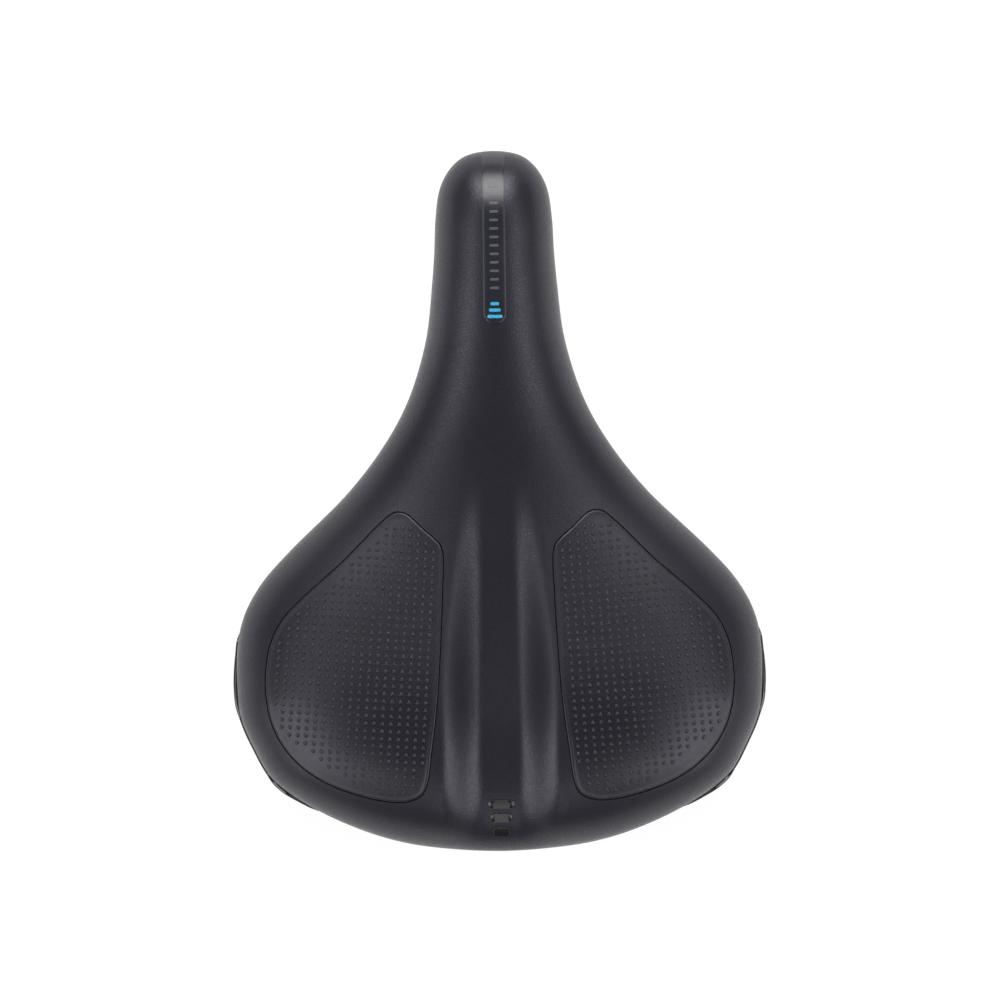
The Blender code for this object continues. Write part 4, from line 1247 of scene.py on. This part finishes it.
def gel_prism(sign, inset):
    """An upright block over the plan of a gel pad."""
    plan = panel_outline(sign, 0)
    middle = plan.mean(axis=0)
    plan = grown(middle + (plan - middle) * GEL_SHARE, -inset, sign)
    return prism("gel_plan", plan, MIDDLE_RIM, TAIL_TOP)


def make_foam():
    """The moulded foam, with a pocket under each panel, and the gel pads that fill them."""
    around, rings, top = 96, 64, SKIN + GAP
    foam = between("foam_core", sheet(top, around, rings, bottom=top),
                   sheet(-GAP, around, rings, True, top))
    for side, sign in SIDES:
        pocket = between(f"{side}_pocket", sheet(0, around, rings),
                         sheet(top + GEL_THICKNESS + GAP, around, rings))
        combine(pocket, "INTERSECT", gel_prism(sign, -GAP))
        combine(foam, "DIFFERENCE", pocket)
        pad = between(f"{side}_gel_pad", sheet(top, around, rings),
                      sheet(top + GEL_THICKNESS, around, rings))
        combine(pad, "INTERSECT", gel_prism(sign, 0))
        done(pad, "gel", SEAT, "gel", f"{side}_gel_pad")
    done(foam, "foam", SEAT, "foam", "foam_core")


# ---------------------------------------------------------------- stage

TABLE_HALF, TABLE_THICKNESS = 3.0, 0.02
LENS = 400.0
SEEN_ACROSS = 0.37857  # width of the picture at the camera's aim, in metres
AIM = (0.0010, 0.0076, 0.034)


def make_stage(settings):
    """A bright plain table, six soft boxes and a camera straight above."""
    table_z = CAD_BOX[0][2] - 1 * MM
    corners = [(x * TABLE_HALF, y * TABLE_HALF) for x, y in ((-1, -1), (1, -1), (1, 1), (-1, 1))]
    table = prism("floor", corners, table_z - TABLE_THICKNESS, table_z)
    made, shader = finish_base("pale_table", (0.32, 0.32, 0.325), 0.8)
    shader.inputs["Emission Color"].default_value = (1, 1, 1, 1)
    shader.inputs["Emission Strength"].default_value = settings.table_glow
    tree = made.node_tree
    grain = use_group(tree, moulded_grain(), Fineness=60.0, Marks=2.0)
    tree.links.new(spread(tree, grain.outputs["Marks"], 0.66, 0.74), shader.inputs["Roughness"])
    table.data.materials.append(made)
    world = bpy.data.worlds.new("studio")
    bpy.context.scene.world = world
    world.use_nodes = True
    background = world.node_tree.nodes["Background"]
    background.inputs["Color"].default_value = (0.92, 0.93, 1.0, 1)
    background.inputs["Strength"].default_value = settings.room_light
    for side, sign in SIDES:
        soft_box(f"{side}_soft_box", (sign * 1.0, -0.47, 0.82), (1.3, 0.95), settings.side_light)
        soft_box(f"{side}_fill_box", (sign * 0.85, 0.42, 0.98), (0.9, 0.5), settings.fill_light)
    soft_box("nose_soft_box", (0, 1.02, 0.69), (1.2, 0.6), settings.nose_light)
    soft_box("tail_soft_box", (0, -1.0, 0.9), (0.35, 0.7), settings.tail_light)
    camera = bpy.data.cameras.new("camera")
    camera.lens = LENS
    camera.clip_end = 20
    holder = link_object("camera", camera)
    away = SEEN_ACROSS * LENS / camera.sensor_width
    holder.location = Vector(AIM) + Vector((0, 0, away))
    holder.rotation_euler = (0, 0, -math.radians(settings.camera_roll))
    bpy.context.scene.camera = holder
    bpy.context.scene.view_settings.view_transform = "Standard"


def soft_box(name, place, size, power):
    """A rectangular light that faces the middle of the saddle and isn't seen itself."""
    light = bpy.data.lights.new(name, "AREA")
    light.shape = "RECTANGLE"
    light.size, light.size_y = size
    light.energy = power
    holder = link_object(name, light)
    holder.location = place
    holder.visible_camera = False
    middle = Vector((0, (NOSE_Y + TAIL_Y) / 2, 0.05))
    holder.rotation_euler = (middle - Vector(place)).to_track_quat("-Z", "Y").to_euler()


# ---------------------------------------------------------------- add-on

class SaddleSettings(bpy.types.PropertyGroup):
    """Sizes, colours and lights that a user may change before building."""

    skin_colour: bpy.props.FloatVectorProperty(
        name="Skin colour", description="Colour of the cover", subtype="COLOR",
        default=(0.0088, 0.008, 0.0125), min=0, max=1)
    skin_roughness: bpy.props.FloatProperty(
        name="Skin roughness", description="How satin the cover is", default=0.38, min=0, max=1)
    panel_colour: bpy.props.FloatVectorProperty(
        name="Panel colour", description="Colour of the grip panels", subtype="COLOR",
        default=(0.0078, 0.0073, 0.0108), min=0, max=1)
    panel_roughness: bpy.props.FloatProperty(
        name="Panel roughness", description="How satin the panels are", default=0.36, min=0, max=1)
    # The dots are the panel's material painted lighter than the panel, a painted highlight on their
    # raised tops.
    dot_painted_highlight_colour: bpy.props.FloatVectorProperty(
        name="Dot colour", description="Colour of the raised dots", subtype="COLOR",
        default=(0.0105, 0.0098, 0.0142), min=0, max=1)
    grain_depth: bpy.props.FloatProperty(
        name="Grain depth", description="Depth of the skin's grain", default=0.07 * MM,
        unit="LENGTH", precision=5)
    groove_width: bpy.props.FloatProperty(
        name="Groove width", description="Gap between the cover and a panel", default=0.3 * MM,
        unit="LENGTH", precision=4)
    dot_pitch: bpy.props.FloatProperty(
        name="Dot pitch", description="Distance between neighbouring dots", default=3.05 * MM,
        unit="LENGTH", precision=4)
    dot_radius: bpy.props.FloatProperty(
        name="Dot radius", description="Radius of each dot", default=0.88 * MM, unit="LENGTH",
        precision=5)
    dot_height: bpy.props.FloatProperty(
        name="Dot height", description="How far a dot stands up", default=0.62 * MM, unit="LENGTH",
        precision=5)
    dot_margin: bpy.props.FloatProperty(
        name="Dot margin", description="Plain edge round the dots", default=3.0 * MM, unit="LENGTH",
        precision=4)
    strip_width: bpy.props.FloatProperty(
        name="Strip width", description="Width of the film on the nose", default=8.5 * MM,
        unit="LENGTH", precision=4)
    table_glow: bpy.props.FloatProperty(
        name="Table glow", description="How much the table lights the object", default=0.72, min=0)
    room_light: bpy.props.FloatProperty(
        name="Room light", description="Strength of the even light", default=0.02, min=0)
    side_light: bpy.props.FloatProperty(
        name="Side light", description="Power of each side soft box", default=13.5,
        unit="POWER", min=0)
    fill_light: bpy.props.FloatProperty(
        name="Fill light", description="Power of each smaller box ahead of the side boxes",
        default=2.0, unit="POWER", min=0)
    nose_light: bpy.props.FloatProperty(
        name="Nose light", description="Power of the soft box before the nose", default=17.0,
        unit="POWER", min=0)
    tail_light: bpy.props.FloatProperty(
        name="Tail light", description="Power of the soft box behind the tail", default=1.5,
        unit="POWER", min=0)
    camera_roll: bpy.props.FloatProperty(
        name="Camera roll", description="Turn of the camera, in degrees", default=0.75)


class SaddleOperator:
    """What every building step shares."""

    bl_options = {"REGISTER", "UNDO"}

    def execute(self, context):
        self.build(context.scene.saddle)
        return {"FINISHED"}


class SADDLE_OT_cover(SaddleOperator, bpy.types.Operator):
    """Make the padded cover with its two windows, the foam and the gel pads"""

    bl_idname = "saddle.cover"
    bl_label = "Cover"

    def build(self, settings):
        make_cover(settings)
        make_foam()


class SADDLE_OT_panels(SaddleOperator, bpy.types.Operator):
    """Make the grip panels and their dots"""

    bl_idname = "saddle.panels"
    bl_label = "Grip panels"

    def build(self, settings):
        for side, sign in SIDES:
            make_panel(side, sign)
            make_dots(side, sign, settings)


class SADDLE_OT_trim(SaddleOperator, bpy.types.Operator):
    """Make the nose strip, its marks, the tail badge and the scuff guards"""

    bl_idname = "saddle.trim"
    bl_label = "Trim"

    def build(self, settings):
        make_strip(settings)
        make_strip_marks()
        make_badge()
        for side, sign in SIDES:
            make_guard(side, sign)


class SADDLE_OT_base(SaddleOperator, bpy.types.Operator):
    """Make the moulded base, its ribs and the staples"""

    bl_idname = "saddle.base"
    bl_label = "Base"

    def build(self, settings):
        make_base()
        make_ribs()
        make_staples()


class SADDLE_OT_rails(SaddleOperator, bpy.types.Operator):
    """Make the rails, the rear bridge and the nose block"""

    bl_idname = "saddle.rails"
    bl_label = "Rails and bridge"

    def build(self, settings):
        make_rails()
        make_bridge()
        make_nose_block()


class SADDLE_OT_springs(SaddleOperator, bpy.types.Operator):
    """Make the rubber springs and every fastener"""

    bl_idname = "saddle.springs"
    bl_label = "Springs and fasteners"

    def build(self, settings):
        make_springs()
        make_fasteners()


class SADDLE_OT_stage(SaddleOperator, bpy.types.Operator):
    """Make the table, the lights and the camera"""

    bl_idname = "saddle.stage"
    bl_label = "Stage"

    def build(self, settings):
        make_stage(settings)


STEPS = (SADDLE_OT_cover, SADDLE_OT_panels, SADDLE_OT_trim, SADDLE_OT_base, SADDLE_OT_rails,
         SADDLE_OT_springs, SADDLE_OT_stage)


class SADDLE_PT_panel(bpy.types.Panel):
    """Lists the building steps and the settings"""

    bl_label = "Bicycle saddle"
    bl_idname = "SADDLE_PT_panel"
    bl_space_type = "VIEW_3D"
    bl_region_type = "UI"
    bl_category = "Saddle"

    def draw(self, context):
        for step in STEPS:
            self.layout.operator(step.bl_idname)
        for name in SaddleSettings.__annotations__:
            self.layout.prop(context.scene.saddle, name)


CLASSES = (SaddleSettings, *STEPS, SADDLE_PT_panel)


def register():
    for made in CLASSES:
        bpy.utils.register_class(made)
    bpy.types.Scene.saddle = bpy.props.PointerProperty(type=SaddleSettings)


def unregister():
    del bpy.types.Scene.saddle
    for made in reversed(CLASSES):
        bpy.utils.unregister_class(made)


def main():
    register()
    for step in STEPS:
        group, name = step.bl_idname.split(".")
        getattr(getattr(bpy.ops, group), name)()


if __name__ == "__main__":
    main()
